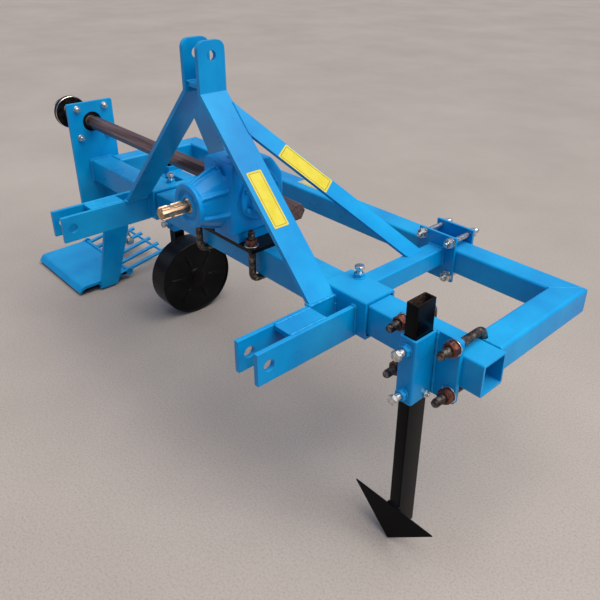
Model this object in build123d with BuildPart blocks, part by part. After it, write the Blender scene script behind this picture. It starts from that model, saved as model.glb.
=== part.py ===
from math import atan2, cos, degrees, hypot, pi, radians, sin, tan

from build123d import *
import os

os.makedirs("parts", exist_ok=True)

# Axes: X runs along the beams with +X at the open end that carries the share, Y runs
# rearward from the tractor, Z is up. Z = 0 is the ground. X = 0 and Y = 0 are the middle
# of the implement's box.

# Main frame
beam_top = 535.0
right_end = 1046.5
front_face = -100.0
beam_length = 1691.0
front_size = 80.0
front_wall = 8.0
rear_size = 70.0
rear_wall = 5.0
tube_corner = 8.0
frame_depth = 454.0
right_inset = 13.0
running_gap = 0.3

left_end = right_end - beam_length
frame_middle = right_end - beam_length / 2
beam_rear = front_face + front_size
frame_rear = front_face + frame_depth
rear_front = frame_rear - rear_size
front_bottom = beam_top - front_size
front_centre_y = front_face + front_size / 2
front_centre_z = beam_top - front_size / 2
rear_centre_y = frame_rear - rear_size / 2
rear_centre_z = beam_top - rear_size / 2

# Hitch frames, one each side of the middle
sleeve_size = 100.0
sleeve_wall = 8.0
sleeve_length = 140.0
sleeve_offset = 464.0
arm_thickness = 12.0
arm_height = 80.0
arm_gap = 54.0
arm_reach = 290.0
arm_drop = 11.0
arm_corner = 6.0
arm_web_front = 100.0
arm_web_length = 108.0
arm_pin_hole = 28.7
arm_pin_inset = 31.0
arm_pin_drop = 39.0
hitch_tube = 50.0
hitch_tube_wall = 5.0
hitch_tube_drop = 5.0
hitch_tube_offset = 436.0

sleeve_front = front_centre_y - sleeve_size / 2
sleeve_rear = front_centre_y + sleeve_size / 2
arm_tip = sleeve_front - arm_reach
arm_top = beam_top - arm_drop
arm_pin_y = arm_tip + arm_pin_inset
arm_pin_z = arm_top - arm_pin_drop
hitch_tube_z = beam_top - hitch_tube_drop - hitch_tube / 2

# Mast: two bent flats that carry the top link, each with a brace in its own plane
mast_width = 78.0
mast_thickness = 12.0
mast_gap = 52.0
mast_bend_height = 405.0
mast_top_height = 527.0
mast_hole_inset = 36.0
mast_hole = 25.7
mast_corner = 22.0
mast_foot_offset = 434.0
mast_foot_height = -arm_drop
spacer_thickness = 12.0
spacer_depth = 66.0
brace_width = 50.0
brace_thickness = 8.0
brace_start = 128.0
brace_foot_front = 265.0

mast_front = sleeve_front - mast_width
mast_rear = mast_front + mast_width
mast_mid_y = mast_front + mast_width / 2
mast_ear_out = mast_gap / 2 + mast_thickness

# Clamp of the right hitch tube on the rear beam
clamp_width = 120.0
clamp_height = 131.0
clamp_thickness = 8.0
clamp_rise = 36.0
clamp_bolt = 16.0
clamp_bolt_x = 45.0
clamp_bolt_z = 50.0
clamp_bolt_tail = 38.0
clamp_bolt_nose = 26.0
rear_sleeve_length = 140.0

clamp_top = beam_top + clamp_rise
clamp_centre_z = clamp_top - clamp_height / 2

# Side plate with its leg, and the blade that stands out from its foot
plate_thickness = 12.0
plate_top_height = 208.0
plate_front = -57.0
plate_rear = 110.0
plate_hole = 70.0
plate_corner = 6.0
shoulder_drop = 170.0
knee_drop = 300.0
leg_knee_front = 8.0
leg_foot_front = -39.0
leg_foot_rear = 36.0
leg_clearance = 8.0
leg_heel_radius = 28.0
blade_width = 384.0
blade_depth = 205.0
blade_thickness = 12.0
blade_front = -122.0
blade_slope = 9.5
blade_bevel = 34.0
blade_corner_cut = 22.0
blade_edge = 3.0

plate_outer = left_end - plate_thickness
blade_far = plate_outer - blade_width

# Drive: gearbox on the front beam, cross shaft, bearing, crank and rod
drive_height = 137.0
drive_offset_y = 27.0
gearbox_offset = 45.0
base_depth = 156.0
base_thickness = 12.0
base_margin = 24.0
input_diameter = 35.0
input_tip = -233.0
spline_length = 64.0
relief_diameter = 30.0
input_seat = 40.0
neck_tip = -155.0
neck_face = 100.0
neck_collar = 13.0
neck_waist = 88.0
neck_root_width = 112.0
neck_root_height = 156.0
neck_sides = 12
body_width = 116.0
body_front = -62.0
body_rear = 118.0
body_height = 208.0
body_cut = 46.0
body_brow_height = 41.0
body_brow_depth = 14.0
body_corner = 9.0
foot_height = 30.0
foot_inset = 22.0
foot_side_inset = 6.0
filler_diameter = 28.0
filler_height = 8.0
filler_forward = 30.0
cap_diameter = 128.0
cap_depth = 14.0
hub_diameter = 86.0
hub_depth = 20.0
input_depth = 40.0
rib_thickness = 8.0
rib_height = 9.0
rib_count = 6
hex_flats = 40.0
hex_out = 216.0
journal_diameter = 40.0
bearing_square = 130.0
bearing_corner = 16.0
bearing_flange = 15.0
bearing_boss = 84.0
bearing_depth = 40.0
crank_gap = 115.0
crank_diameter = 118.0
crank_thickness = 20.0
crank_throw = 20.0
crank_lead = 127.0
crank_pin = 24.0
pin_head = 44.0
pin_head_depth = 12.0
rod_width = 24.0
rod_bar = 30.0
rod_eye = 58.0
rod_foot_eye = 38.0
rod_foot_pin = 16.0
rod_bar_thickness = 12.0
pin_tail = 46.0

shaft_y = front_face + drive_offset_y
shaft_z = beam_top + drive_height
gearbox_x = frame_middle + gearbox_offset
base_top = beam_top + base_thickness
crank_x = plate_outer - bearing_depth - crank_gap
rod_side_gap = 5.0
rod_x = crank_x - crank_thickness - rod_side_gap - rod_width / 2

# Shaking grate, hinged at the blade's rear edge
bar_diameter = 16.0
bar_count = 6
bar_pitch = 69.0
bar_inset = 19.5
grate_reach = 192.0
grate_slope = 11.0
grate_tie = 10.0
grate_tie_at = 168.0
lug_thickness = 10.0
ear_thickness = 8.0
grate_pin_reach = 112.0
grate_pin_rise = 20.0
grate_lug_width = 26.0
grate_lug_eye = 36.0

# Share at the right end
share_inset = 132.0
share_plate_width = 164.0
share_plate_height = 160.0
share_plate_thickness = 12.0
share_plate_rise = 38.0
share_sleeve_width = 44.0
share_sleeve_depth = 70.0
share_sleeve_wall = 4.5
shank_width = 30.0
shank_depth = 60.0
shank_wall = 4.0
shank_corner = 4.0
shank_rise = 116.0
share_width = 248.0
share_height = 115.0
share_crease = 37.0
share_thickness = 10.0
share_nose_lean = 28.0
shank_foot = 42.0

share_x = right_end - share_inset
shank_front = front_face - share_plate_thickness - share_sleeve_depth / 2 - shank_depth / 2

# U-bolts, alike on the gearbox base and on the share clamp
u_rod = 20.0
u_hole = 22.0
u_span = 118.0
u_corner = 14.0
u_nut = 30.0
u_nut_height = 18.0
u_nose = 26.0
u_share_spread = 66.5
u_base_offsets = (-125.0, 127.0)

share_leg_y = beam_rear + u_rod / 2

# Gauge wheel under the left hitch tube
wheel_radius = 141.0
wheel_width = 86.0
wheel_wall = 6.0
wheel_web = 8.0
wheel_recess = 8.0
wheel_hub = 56.0
wheel_axle = 25.0
wheel_offset = 462.0
wheel_y = 171.0
wheel_tube = 40.0
wheel_tube_wall = 5.0
wheel_socket_wall = 6.0
socket_slack = 0.5
wheel_gap = 12.0

# Set screws
set_bolt = 16.0
set_head = 24.0
set_head_height = 10.0
set_neck = 12.0
set_hole = set_bolt + 2 * running_gap
sleeve_set_side = -40.0
sleeve_set_back = 30.0
share_set_neck = 26.0
share_set_drops = (36.0, 132.0)
share_side_drop = 140.0


def tube_section(width, depth, wall, corner):
    """Section of a rectangular tube with rounded corners."""
    with BuildSketch() as section:
        RectangleRounded(width, depth, corner)
        Rectangle(width - 2 * wall, depth - 2 * wall, mode=Mode.SUBTRACT)
    return section.sketch


def save(block, name):
    block.part.label = name
    export_step(block.part, f"parts/{name}.step")


def u_bolt(plane, tip):
    """Rod bent to a U, with its middle along the plane's x axis and its legs along y."""
    half = u_span / 2
    with BuildPart() as bolt:
        with BuildLine(plane) as path:
            Polyline(
                (-half, tip),
                (-half, u_corner),
                (u_corner - half, 0),
                (half - u_corner, 0),
                (half, u_corner),
                (half, tip),
            )
        rod_path = path.wire()
        with BuildSketch(Plane(origin=rod_path @ 0, z_dir=rod_path % 0)):
            Circle(u_rod / 2)
        sweep(path=rod_path, transition=Transition.RIGHT)
    return bolt.part


# Front beam, open at its right end
with BuildPart() as front_beam:
    with BuildSketch(Plane.YZ.offset(left_end)) as front_section:
        with Locations((front_centre_y, front_centre_z)):
            add(tube_section(front_size, front_size, front_wall, tube_corner))
    extrude(amount=beam_length)
save(front_beam, "front_beam")

# Rear beam, mitred at both ends
rear_right = right_end - right_inset
with BuildPart() as rear_beam:
    with BuildSketch(Plane.YZ.offset(left_end)) as rear_section:
        with Locations((rear_centre_y, rear_centre_z)):
            add(tube_section(rear_size, rear_size, rear_wall, tube_corner))
    extrude(amount=rear_right - left_end)
    split(bisect_by=Plane(origin=(rear_right, frame_rear, 0), z_dir=(1, -1, 0)), keep=Keep.BOTTOM)
    split(bisect_by=Plane(origin=(left_end, frame_rear, 0), z_dir=(-1, -1, 0)), keep=Keep.BOTTOM)
save(rear_beam, "rear_beam")

# End tubes, butted to the front beam and mitred to the rear beam
end_tubes = (
    # name, middle X, outer X, which way is outward
    ("right_end_tube", rear_right - rear_size / 2, rear_right, 1),
    ("left_end_tube", left_end + rear_size / 2, left_end, -1),
)
for name, middle, outer, outward in end_tubes:
    with BuildPart() as end_tube:
        with BuildSketch(Plane.XZ.offset(-beam_rear)) as end_section:
            with Locations((middle, rear_centre_z)):
                add(tube_section(rear_size, rear_size, rear_wall, tube_corner))
        extrude(amount=beam_rear - frame_rear)
        split(bisect_by=Plane(origin=(outer, frame_rear, 0), z_dir=(outward, -1, 0)), keep=Keep.TOP)
        with BuildSketch(Plane.XY.offset(beam_top)) as leg_holes:
            with Locations((share_x + u_share_spread, share_leg_y)):
                Circle(u_hole / 2)
        extrude(amount=-rear_size, mode=Mode.SUBTRACT)
    save(end_tube, name)

sides = (
    # name, which way is outward
    ("right", 1),
    ("left", -1),
)

# Mast flat: foot, slope, bend and ear, as a strip in the XZ plane
foot_z = beam_top + mast_foot_height
bend_z = beam_top + mast_bend_height
ear_z = beam_top + mast_top_height
slope_run = mast_foot_offset - mast_ear_out
slope_drop = bend_z - foot_z
slope_length = hypot(slope_run, slope_drop)
down_x = slope_run / slope_length
down_z = -slope_drop / slope_length

for side, outward in sides:
    sleeve_x = frame_middle + outward * sleeve_offset

    # Sleeve on the front beam
    with BuildPart() as hitch_sleeve:
        with BuildSketch(Plane.YZ.offset(sleeve_x - sleeve_length / 2)) as sleeve_section:
            with Locations((front_centre_y, front_centre_z)):
                add(tube_section(sleeve_size, sleeve_size, sleeve_wall, tube_corner))
        extrude(amount=sleeve_length)
        with BuildSketch(Plane.XY.offset(beam_top)) as sleeve_holes:
            with Locations((sleeve_x + sleeve_set_side, front_centre_y + sleeve_set_back)):
                Circle(set_hole / 2)
        extrude(amount=sleeve_size, mode=Mode.SUBTRACT)
    save(hitch_sleeve, f"hitch_sleeve_{side}")

    # Lower arm: two plates with a web on their top edges and a pin hole through both
    with BuildPart() as lower_arm:
        for cheek in (-1, 1):
            cheek_x = sleeve_x + cheek * (arm_gap + arm_thickness) / 2
            with BuildSketch(Plane.YZ.offset(cheek_x - arm_thickness / 2)) as cheek_profile:
                with Locations((arm_tip + arm_reach / 2, arm_top - arm_height / 2)):
                    Rectangle(arm_reach, arm_height)
                corners = cheek_profile.vertices().filter_by(lambda v: v.Y < 0).sort_by(Axis.X)[:2]
                fillet(corners, arm_corner)
            extrude(amount=arm_thickness)
        with BuildSketch(Plane.XY.offset(arm_top)) as web_profile:
            with Locations((sleeve_x, arm_tip + arm_web_front + arm_web_length / 2)):
                Rectangle(arm_gap, arm_web_length)
        extrude(amount=-arm_thickness)
        with BuildSketch(Plane.YZ.offset(sleeve_x)) as arm_pin_profile:
            with Locations((arm_pin_y, arm_pin_z)):
                Circle(arm_pin_hole / 2)
        extrude(amount=arm_gap / 2 + arm_thickness, both=True, mode=Mode.SUBTRACT)
    save(lower_arm, f"lower_arm_{side}")

    # Tube from the front sleeve back to the rear beam
    tube_x = frame_middle + outward * hitch_tube_offset
    tube_rear = rear_front - clamp_thickness if outward > 0 else rear_centre_y - sleeve_size / 2
    with BuildPart() as hitch_tube_part:
        with BuildSketch(Plane.XZ.offset(-sleeve_rear)) as hitch_tube_section:
            with Locations((tube_x, hitch_tube_z)):
                add(tube_section(hitch_tube, hitch_tube, hitch_tube_wall, tube_corner / 2))
        extrude(amount=sleeve_rear - tube_rear)
    save(hitch_tube_part, f"hitch_tube_{side}")

    # Mast flat, bent once, with its ear upright
    ear_outer = frame_middle + outward * mast_ear_out
    ear_inner = frame_middle + outward * mast_gap / 2
    foot_outer = frame_middle + outward * mast_foot_offset
    flat_inward = outward * mast_thickness / cos(atan2(slope_run, slope_drop))
    with BuildPart() as mast_leg:
        with BuildSketch(Plane.XZ.offset(-mast_front)) as strip:
            with BuildLine() as strip_line:
                Polyline(
                    (ear_inner, ear_z),
                    (ear_outer, ear_z),
                    (ear_outer, bend_z),
                    (foot_outer, foot_z),
                    (foot_outer - flat_inward, foot_z),
                    (ear_inner, bend_z - (flat_inward - outward * mast_thickness) * outward * slope_drop / slope_run),
                    close=True,
                )
            make_face()
        extrude(amount=-mast_width)
        ear_corners = mast_leg.edges().filter_by(Axis.X).group_by(Axis.Z)[-1]
        fillet(ear_corners, mast_corner)
        with BuildSketch(Plane.YZ.offset(ear_outer)) as ear_hole:
            with Locations((mast_mid_y, ear_z - mast_hole_inset)):
                Circle(mast_hole / 2)
        extrude(amount=-outward * mast_thickness, mode=Mode.SUBTRACT)
    save(mast_leg, f"mast_leg_{side}")

    # Brace in the plane of the mast flat, from its rear edge to the hitch tube
    lean = Plane(
        origin=(ear_outer, mast_rear, bend_z),
        x_dir=(outward * down_x, 0, down_z),
        z_dir=(outward * -down_z, 0, down_x),
    )
    tube_top = beam_top - hitch_tube_drop
    brace_run = (bend_z - tube_top) * slope_length / slope_drop
    foot_start = front_face + brace_foot_front - mast_rear
    brace_angle = atan2(foot_start, brace_run - brace_start)
    foot_length = brace_width / cos(brace_angle)
    brace_head = brace_start - foot_length / tan(brace_angle)
    y_sign = outward
    with BuildPart() as brace:
        with BuildSketch(lean) as brace_profile:
            with BuildLine() as brace_line:
                Polyline(
                    (brace_head, 0),
                    (brace_start, 0),
                    (brace_run, y_sign * foot_start),
                    (brace_run, y_sign * (foot_start + foot_length)),
                    close=True,
                )
            make_face()
        extrude(amount=-brace_thickness)
        with BuildSketch(Plane.XY.offset(tube_top)) as brace_floor:
            with Locations((foot_outer, mast_rear + foot_start)):
                Rectangle(sleeve_size, 4 * foot_length)
        extrude(amount=-brace_width, mode=Mode.SUBTRACT)
    save(brace, f"brace_{side}")

# Spacer between the ears, just above the bend
with BuildPart() as mast_spacer:
    with BuildSketch(Plane.XY.offset(bend_z)) as spacer_profile:
        with Locations((frame_middle, mast_mid_y)):
            Rectangle(mast_gap, spacer_depth)
    extrude(amount=spacer_thickness)
save(mast_spacer, "mast_spacer")

# Two clamp plates squeeze the rear beam at the right hitch tube
clamp_x = frame_middle + hitch_tube_offset
with BuildPart() as rear_clamp:
    for plate_y in (rear_front, frame_rear + clamp_thickness):
        with BuildSketch(Plane.XZ.offset(-plate_y)) as clamp_profile:
            with Locations((clamp_x, clamp_centre_z)):
                Rectangle(clamp_width, clamp_height)
                with GridLocations(2 * clamp_bolt_x, 2 * clamp_bolt_z, 2, 2):
                    Circle(clamp_bolt / 2 + running_gap, mode=Mode.SUBTRACT)
        extrude(amount=clamp_thickness)
save(rear_clamp, "rear_clamp_plates")

clamp_head_face = rear_front - clamp_thickness
with BuildPart() as clamp_bolts:
    with BuildSketch(Plane.XZ.offset(clamp_bolt_nose - clamp_head_face)) as clamp_rods:
        with Locations((clamp_x, clamp_centre_z)):
            with GridLocations(2 * clamp_bolt_x, 2 * clamp_bolt_z, 2, 2):
                Circle(clamp_bolt / 2)
    extrude(amount=-(clamp_bolt_nose + 2 * clamp_thickness + rear_size + clamp_bolt_tail))
    for nut_face, grow in ((clamp_head_face, 1), (frame_rear + clamp_thickness, -1)):
        with BuildSketch(Plane.XZ.offset(-nut_face)) as clamp_nuts:
            with Locations((clamp_x, clamp_centre_z)):
                with GridLocations(2 * clamp_bolt_x, 2 * clamp_bolt_z, 2, 2):
                    RegularPolygon(clamp_bolt * 0.75, 6, major_radius=False)
        extrude(amount=grow * clamp_bolt * 0.8)
save(clamp_bolts, "rear_clamp_bolts")

# Sleeve of the left hitch tube on the rear beam
left_tube_x = frame_middle - hitch_tube_offset
with BuildPart() as rear_sleeve:
    with BuildSketch(Plane.YZ.offset(left_tube_x - rear_sleeve_length / 2)) as rear_sleeve_section:
        with Locations((rear_centre_y, rear_centre_z)):
            add(tube_section(sleeve_size, sleeve_size, sleeve_wall, tube_corner))
    extrude(amount=rear_sleeve_length)
    with BuildSketch(Plane.XY.offset(beam_top)) as rear_sleeve_holes:
        with Locations((left_tube_x, rear_centre_y)):
            Circle(set_hole / 2)
    extrude(amount=sleeve_size, mode=Mode.SUBTRACT)
save(rear_sleeve, "rear_sleeve")

# Side plate and leg in one piece
with BuildPart() as side_plate:
    with BuildSketch(Plane.YZ.offset(plate_outer)) as plate_profile:
        with BuildLine() as plate_line:
            Polyline(
                (front_face + plate_front, beam_top + plate_top_height),
                (front_face + plate_rear, beam_top + plate_top_height),
                (front_face + plate_rear, beam_top - knee_drop),
                (front_face + leg_foot_rear, leg_clearance),
                (front_face + leg_foot_front, leg_clearance),
                (front_face + leg_knee_front, beam_top - knee_drop),
                (front_face + plate_front, beam_top - shoulder_drop),
                close=True,
            )
        make_face()
        heel = plate_profile.vertices().sort_by(Axis.Y)[:2].sort_by(Axis.X)[-1]
        fillet(heel, leg_heel_radius)
        top_corners = plate_profile.vertices().sort_by(Axis.Y)[-2:]
        fillet(top_corners, plate_corner)
        with Locations((shaft_y, shaft_z)):
            Circle(plate_hole / 2, mode=Mode.SUBTRACT)
    extrude(amount=plate_thickness)
save(side_plate, "side_plate")

# Blade: a sloping plate ground to an edge in front, with two hinge ears behind
slope_tan = tan(radians(blade_slope))
blade_front_y = front_face + blade_front
blade_rear_y = blade_front_y + blade_depth
blade_rise = (blade_depth - blade_bevel) * slope_tan
blade_skin = blade_thickness / cos(radians(blade_slope))
pivot_y = blade_rear_y + bar_diameter / 2 + 4
pivot_z = blade_rise + blade_skin / 2
ear_radius = bar_diameter / 2 + 8
with BuildPart() as blade:
    with BuildSketch(Plane.YZ.offset(blade_far)) as blade_profile:
        with BuildLine() as blade_line:
            Polyline(
                (blade_front_y, 0),
                (blade_front_y + blade_bevel, 0),
                (blade_rear_y, blade_rise),
                (blade_rear_y, blade_rise + blade_skin),
                (blade_front_y + blade_bevel, blade_skin),
                (blade_front_y, blade_edge),
                close=True,
            )
        make_face()
    extrude(amount=blade_width)
    far_corners = blade.edges().filter_by(Axis.Z).group_by(Axis.X)[0]
    chamfer(far_corners.sort_by(Axis.Y)[0], blade_corner_cut)
    for ear_x in (blade_far, plate_outer - ear_thickness):
        with BuildSketch(Plane.YZ.offset(ear_x)) as ear_profile:
            with BuildLine() as ear_line:
                Polyline(
                    (blade_rear_y - 2 * blade_thickness, blade_rise - 2 * blade_thickness * slope_tan),
                    (pivot_y, pivot_z - ear_radius),
                    (pivot_y, pivot_z + ear_radius),
                    (blade_rear_y - 2 * blade_thickness, blade_rise - 2 * blade_thickness * slope_tan + blade_skin),
                    close=True,
                )
            make_face()
            with Locations((pivot_y, pivot_z)):
                Circle(ear_radius)
                Circle(bar_diameter / 2 + running_gap, mode=Mode.SUBTRACT)
        extrude(amount=ear_thickness)
save(blade, "blade")

# Grate: bars on a hinge rod, tied near their rear ends, with a lug for the rod's foot
bar_first = plate_outer - bar_inset
grate_rad = radians(grate_slope)
bar_places = [bar_first - index * bar_pitch for index in range(bar_count)]
bar_plane_x = (0, cos(grate_rad), sin(grate_rad))
tie_y = pivot_y + grate_tie_at * cos(grate_rad)
tie_z = pivot_z + grate_tie_at * sin(grate_rad)
foot_pin_y = pivot_y + grate_pin_reach * cos(grate_rad) - grate_pin_rise * sin(grate_rad)
foot_pin_z = pivot_z + grate_pin_reach * sin(grate_rad) + grate_pin_rise * cos(grate_rad)
with BuildPart() as grate:
    with BuildSketch(Plane.YZ.offset(blade_far - 6)) as hinge_rod:
        with Locations((pivot_y, pivot_z)):
            Circle(bar_diameter / 2)
    extrude(amount=blade_width + 4)
    with BuildSketch(Plane.YZ.offset(bar_places[-1])) as tie_rod:
        with Locations((tie_y, tie_z)):
            Circle(grate_tie / 2)
    extrude(amount=bar_first - bar_places[-1])
    for bar_x in bar_places:
        bar_plane = Plane(origin=(bar_x, pivot_y, pivot_z), x_dir=(1, 0, 0), z_dir=bar_plane_x)
        with BuildSketch(bar_plane) as bar_section:
            Circle(bar_diameter / 2)
        extrude(amount=grate_reach)
    lug_base = pivot_y + (grate_pin_reach - grate_lug_width) * cos(grate_rad)
    lug_base_z = pivot_z + (grate_pin_reach - grate_lug_width) * sin(grate_rad)
    with BuildSketch(Plane.YZ.offset(bar_places[3])) as lug_profile:
        with BuildLine() as lug_line:
            Polyline(
                (lug_base, lug_base_z),
                (lug_base + 2 * grate_lug_width * cos(grate_rad), lug_base_z + 2 * grate_lug_width * sin(grate_rad)),
                (foot_pin_y, foot_pin_z),
                close=True,
            )
        make_face()
        with Locations((foot_pin_y, foot_pin_z)):
            Circle(grate_lug_eye / 2)
            Circle(rod_foot_pin / 2 + running_gap, mode=Mode.SUBTRACT)
    extrude(amount=bar_diameter / 2 + lug_thickness)
save(grate, "grate")

# Four-bolt bearing on the outer face of the side plate
with BuildPart() as shaft_bearing:
    with BuildSketch(Plane.YZ.offset(plate_outer)) as bearing_flange_profile:
        with Locations((shaft_y, shaft_z)):
            RectangleRounded(bearing_square, bearing_square, bearing_corner)
    extrude(amount=-bearing_flange)
    with BuildSketch(Plane.YZ.offset(plate_outer - bearing_flange)) as bearing_boss_profile:
        with Locations((shaft_y, shaft_z)):
            Circle(bearing_boss / 2)
    extrude(amount=-(bearing_depth - bearing_flange), taper=8)
    with BuildSketch(Plane.YZ.offset(plate_outer)) as bearing_bore:
        with Locations((shaft_y, shaft_z)):
            Circle(journal_diameter / 2 + running_gap)
    extrude(amount=-bearing_depth, mode=Mode.SUBTRACT)
save(shaft_bearing, "shaft_bearing")

# Gearbox base plate on the front beam, with holes for the U-bolts
u_legs_y = (front_centre_y - u_span / 2, front_centre_y + u_span / 2)
base_u_places = [frame_middle + offset for offset in u_base_offsets]
base_left = base_u_places[0] - base_margin
base_right = base_u_places[1] + base_margin
with BuildPart() as gearbox_base:
    with BuildSketch(Plane.XY.offset(beam_top)) as base_profile:
        with Locations(((base_left + base_right) / 2, front_centre_y)):
            Rectangle(base_right - base_left, base_depth)
        with Locations([(u_x, u_y) for u_x in base_u_places for u_y in u_legs_y]):
            Circle(u_hole / 2, mode=Mode.SUBTRACT)
    extrude(amount=base_thickness)
save(gearbox_base, "gearbox_base")

# Gearbox casting: body on a narrower foot, flared neck with ribs, bearing caps and filler boss
body_front_y = front_face + body_front
body_rear_y = front_face + body_rear
body_top = base_top + body_height
foot_top = base_top + foot_height
neck_tip_y = front_face + neck_tip
collar_y = neck_tip_y + neck_collar
body_mid_y = (body_front_y + body_rear_y) / 2
with BuildPart() as gearbox_housing:
    with BuildSketch(Plane.YZ.offset(gearbox_x - body_width / 2)) as body_profile:
        with BuildLine() as body_line:
            Polyline(
                (body_front_y, foot_top),
                (body_front_y, body_top - body_brow_height),
                (body_front_y + body_brow_depth, body_top),
                (body_rear_y - body_cut, body_top),
                (body_rear_y, body_top - body_cut),
                (body_rear_y, foot_top),
                close=True,
            )
        make_face()
    extrude(amount=body_width)
    chamfer(gearbox_housing.edges().filter_by(Axis.Z), body_corner)
    with BuildSketch(Plane.XY.offset(base_top)) as foot_profile:
        with Locations((gearbox_x, body_mid_y)):
            Rectangle(body_width - 2 * foot_side_inset, body_rear_y - body_front_y - 2 * foot_inset)
    extrude(amount=foot_height)
    with BuildSketch(Plane.XZ.offset(-neck_tip_y)) as collar_profile:
        with Locations((gearbox_x, shaft_z)):
            Circle(neck_face / 2)
    extrude(amount=-neck_collar)
    neck_sections = (
        # place along Y, width, height
        (collar_y, neck_waist, neck_waist),
        (body_front_y, neck_root_width, neck_root_height),
    )
    for section_y, wide, high in neck_sections:
        with BuildSketch(Plane.XZ.offset(-section_y)) as neck_profile:
            with BuildLine() as neck_line:
                Polyline(
                    [
                        (
                            gearbox_x + wide / 2 * cos((index + 0.5) * 2 * pi / neck_sides),
                            shaft_z + high / 2 * sin((index + 0.5) * 2 * pi / neck_sides),
                        )
                        for index in range(neck_sides)
                    ],
                    close=True,
                )
            make_face()
    loft(ruled=True)
    for cap_face, grow in ((gearbox_x + body_width / 2, 1), (gearbox_x - body_width / 2, -1)):
        with BuildSketch(Plane.YZ.offset(cap_face)) as cap_profile:
            with Locations((shaft_y, shaft_z)):
                Circle(cap_diameter / 2)
        extrude(amount=grow * cap_depth)
        with BuildSketch(Plane.YZ.offset(cap_face + grow * cap_depth)) as hub_profile:
            with Locations((shaft_y, shaft_z)):
                Circle(hub_diameter / 2)
        extrude(amount=grow * hub_depth)
    for index in range(rib_count):
        turn = radians((index + 0.5) * 360 / rib_count)
        root_reach = 1 / hypot(2 * cos(turn) / neck_root_width, 2 * sin(turn) / neck_root_height)
        rib_plane = Plane(
            origin=(gearbox_x, body_front_y, shaft_z),
            x_dir=(cos(turn), 0, sin(turn)),
            z_dir=(sin(turn), 0, -cos(turn)),
        )
        with BuildSketch(rib_plane) as rib_profile:
            with BuildLine() as rib_line:
                Polyline(
                    (0, 0),
                    (root_reach + rib_height, 0),
                    (neck_face / 2, body_front_y - collar_y),
                    (0, body_front_y - collar_y),
                    close=True,
                )
            make_face()
        extrude(amount=rib_thickness / 2, both=True)
    with BuildSketch(Plane.XY.offset(body_top)) as filler_profile:
        with Locations((gearbox_x, shaft_y - filler_forward)):
            Circle(filler_diameter / 2)
    extrude(amount=filler_height)
    with BuildSketch(Plane.YZ.offset(gearbox_x - body_width)) as cross_bore:
        with Locations((shaft_y, shaft_z)):
            Circle(hex_flats / 2 / cos(pi / 6) + running_gap)
    extrude(amount=2 * body_width, mode=Mode.SUBTRACT)
    with BuildSketch(Plane.XZ.offset(-neck_tip_y)) as input_bore:
        with Locations((gearbox_x, shaft_z)):
            Circle(input_seat / 2 + running_gap)
    extrude(amount=-(body_front_y - neck_tip_y + input_depth + running_gap), mode=Mode.SUBTRACT)
save(gearbox_housing, "gearbox_housing")

# U-bolts under the front beam, with nuts on the base plate
u_top = base_top + u_nut_height + u_nose
u_low = front_bottom - u_rod / 2
with BuildPart() as gearbox_bolts:
    for u_x in base_u_places:
        add(u_bolt(Plane(origin=(u_x, front_centre_y, u_low), x_dir=(0, 1, 0), z_dir=(1, 0, 0)), u_top - u_low))
        with BuildSketch(Plane.XY.offset(base_top)) as u_nuts:
            with Locations([(u_x, u_y) for u_y in u_legs_y]):
                RegularPolygon(u_nut / 2, 6, major_radius=False, rotation=30)
        extrude(amount=u_nut_height)
save(gearbox_bolts, "gearbox_u_bolts")

# U-bolts of the share clamp, on their sides behind the beam, with nuts on the clamp plate
share_plate_face = front_face - share_plate_thickness
share_bolt_tip = share_plate_face - u_nut_height - u_nose
share_bolt_heights = [front_centre_z + side * u_span / 2 for side in (-1, 1)]
share_bolt_places = [(share_x + side * u_share_spread, z) for side in (-1, 1) for z in share_bolt_heights]
with BuildPart() as share_bolts:
    for side in (-1, 1):
        u_seat = (share_x + side * u_share_spread, share_leg_y, front_centre_z)
        add(u_bolt(Plane(origin=u_seat, x_dir=(0, 0, 1), z_dir=(1, 0, 0)), share_leg_y - share_bolt_tip))
    with BuildSketch(Plane.XZ.offset(-share_plate_face)) as share_nuts:
        with Locations(share_bolt_places):
            RegularPolygon(u_nut / 2, 6, major_radius=False)
    extrude(amount=u_nut_height)
save(share_bolts, "share_bolts")

# Share clamp: plate on the beam's front face with an upright sleeve
share_plate_top = beam_top + share_plate_rise
share_plate_mid = share_plate_top - share_plate_height / 2
sleeve_mid_y = front_face - share_plate_thickness - share_sleeve_depth / 2
with BuildPart() as share_clamp:
    with BuildSketch(Plane.XZ.offset(-front_face)) as share_plate_profile:
        with Locations((share_x, share_plate_mid)):
            Rectangle(share_plate_width, share_plate_height)
        with Locations(share_bolt_places):
            Circle(u_hole / 2, mode=Mode.SUBTRACT)
    extrude(amount=share_plate_thickness)
    with BuildSketch(Plane.XY.offset(share_plate_top - share_plate_height)) as share_sleeve_profile:
        with Locations((share_x, sleeve_mid_y)):
            add(tube_section(share_sleeve_width, share_sleeve_depth, share_sleeve_wall, shank_corner))
    extrude(amount=share_plate_height)
    with BuildSketch(Plane.XZ.offset(-shank_front)) as share_set_holes:
        with Locations([(share_x, share_plate_top - drop) for drop in share_set_drops]):
            Circle(set_hole / 2)
    extrude(amount=share_sleeve_depth, mode=Mode.SUBTRACT)
    with BuildSketch(Plane.YZ.offset(share_x + shank_width / 2)) as share_side_hole:
        with Locations((sleeve_mid_y, share_plate_top - share_side_drop)):
            Circle(set_hole / 2)
    extrude(amount=share_sleeve_width, mode=Mode.SUBTRACT)
save(share_clamp, "share_clamp")

# Shank: rectangular tube, open at the top
with BuildPart() as share_shank:
    with BuildSketch(Plane.XY.offset(shank_foot)) as shank_profile:
        with Locations((share_x, sleeve_mid_y)):
            add(tube_section(shank_width, shank_depth, shank_wall, shank_corner))
    extrude(amount=beam_top + shank_rise - shank_foot)
save(share_shank, "share_shank")

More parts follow.
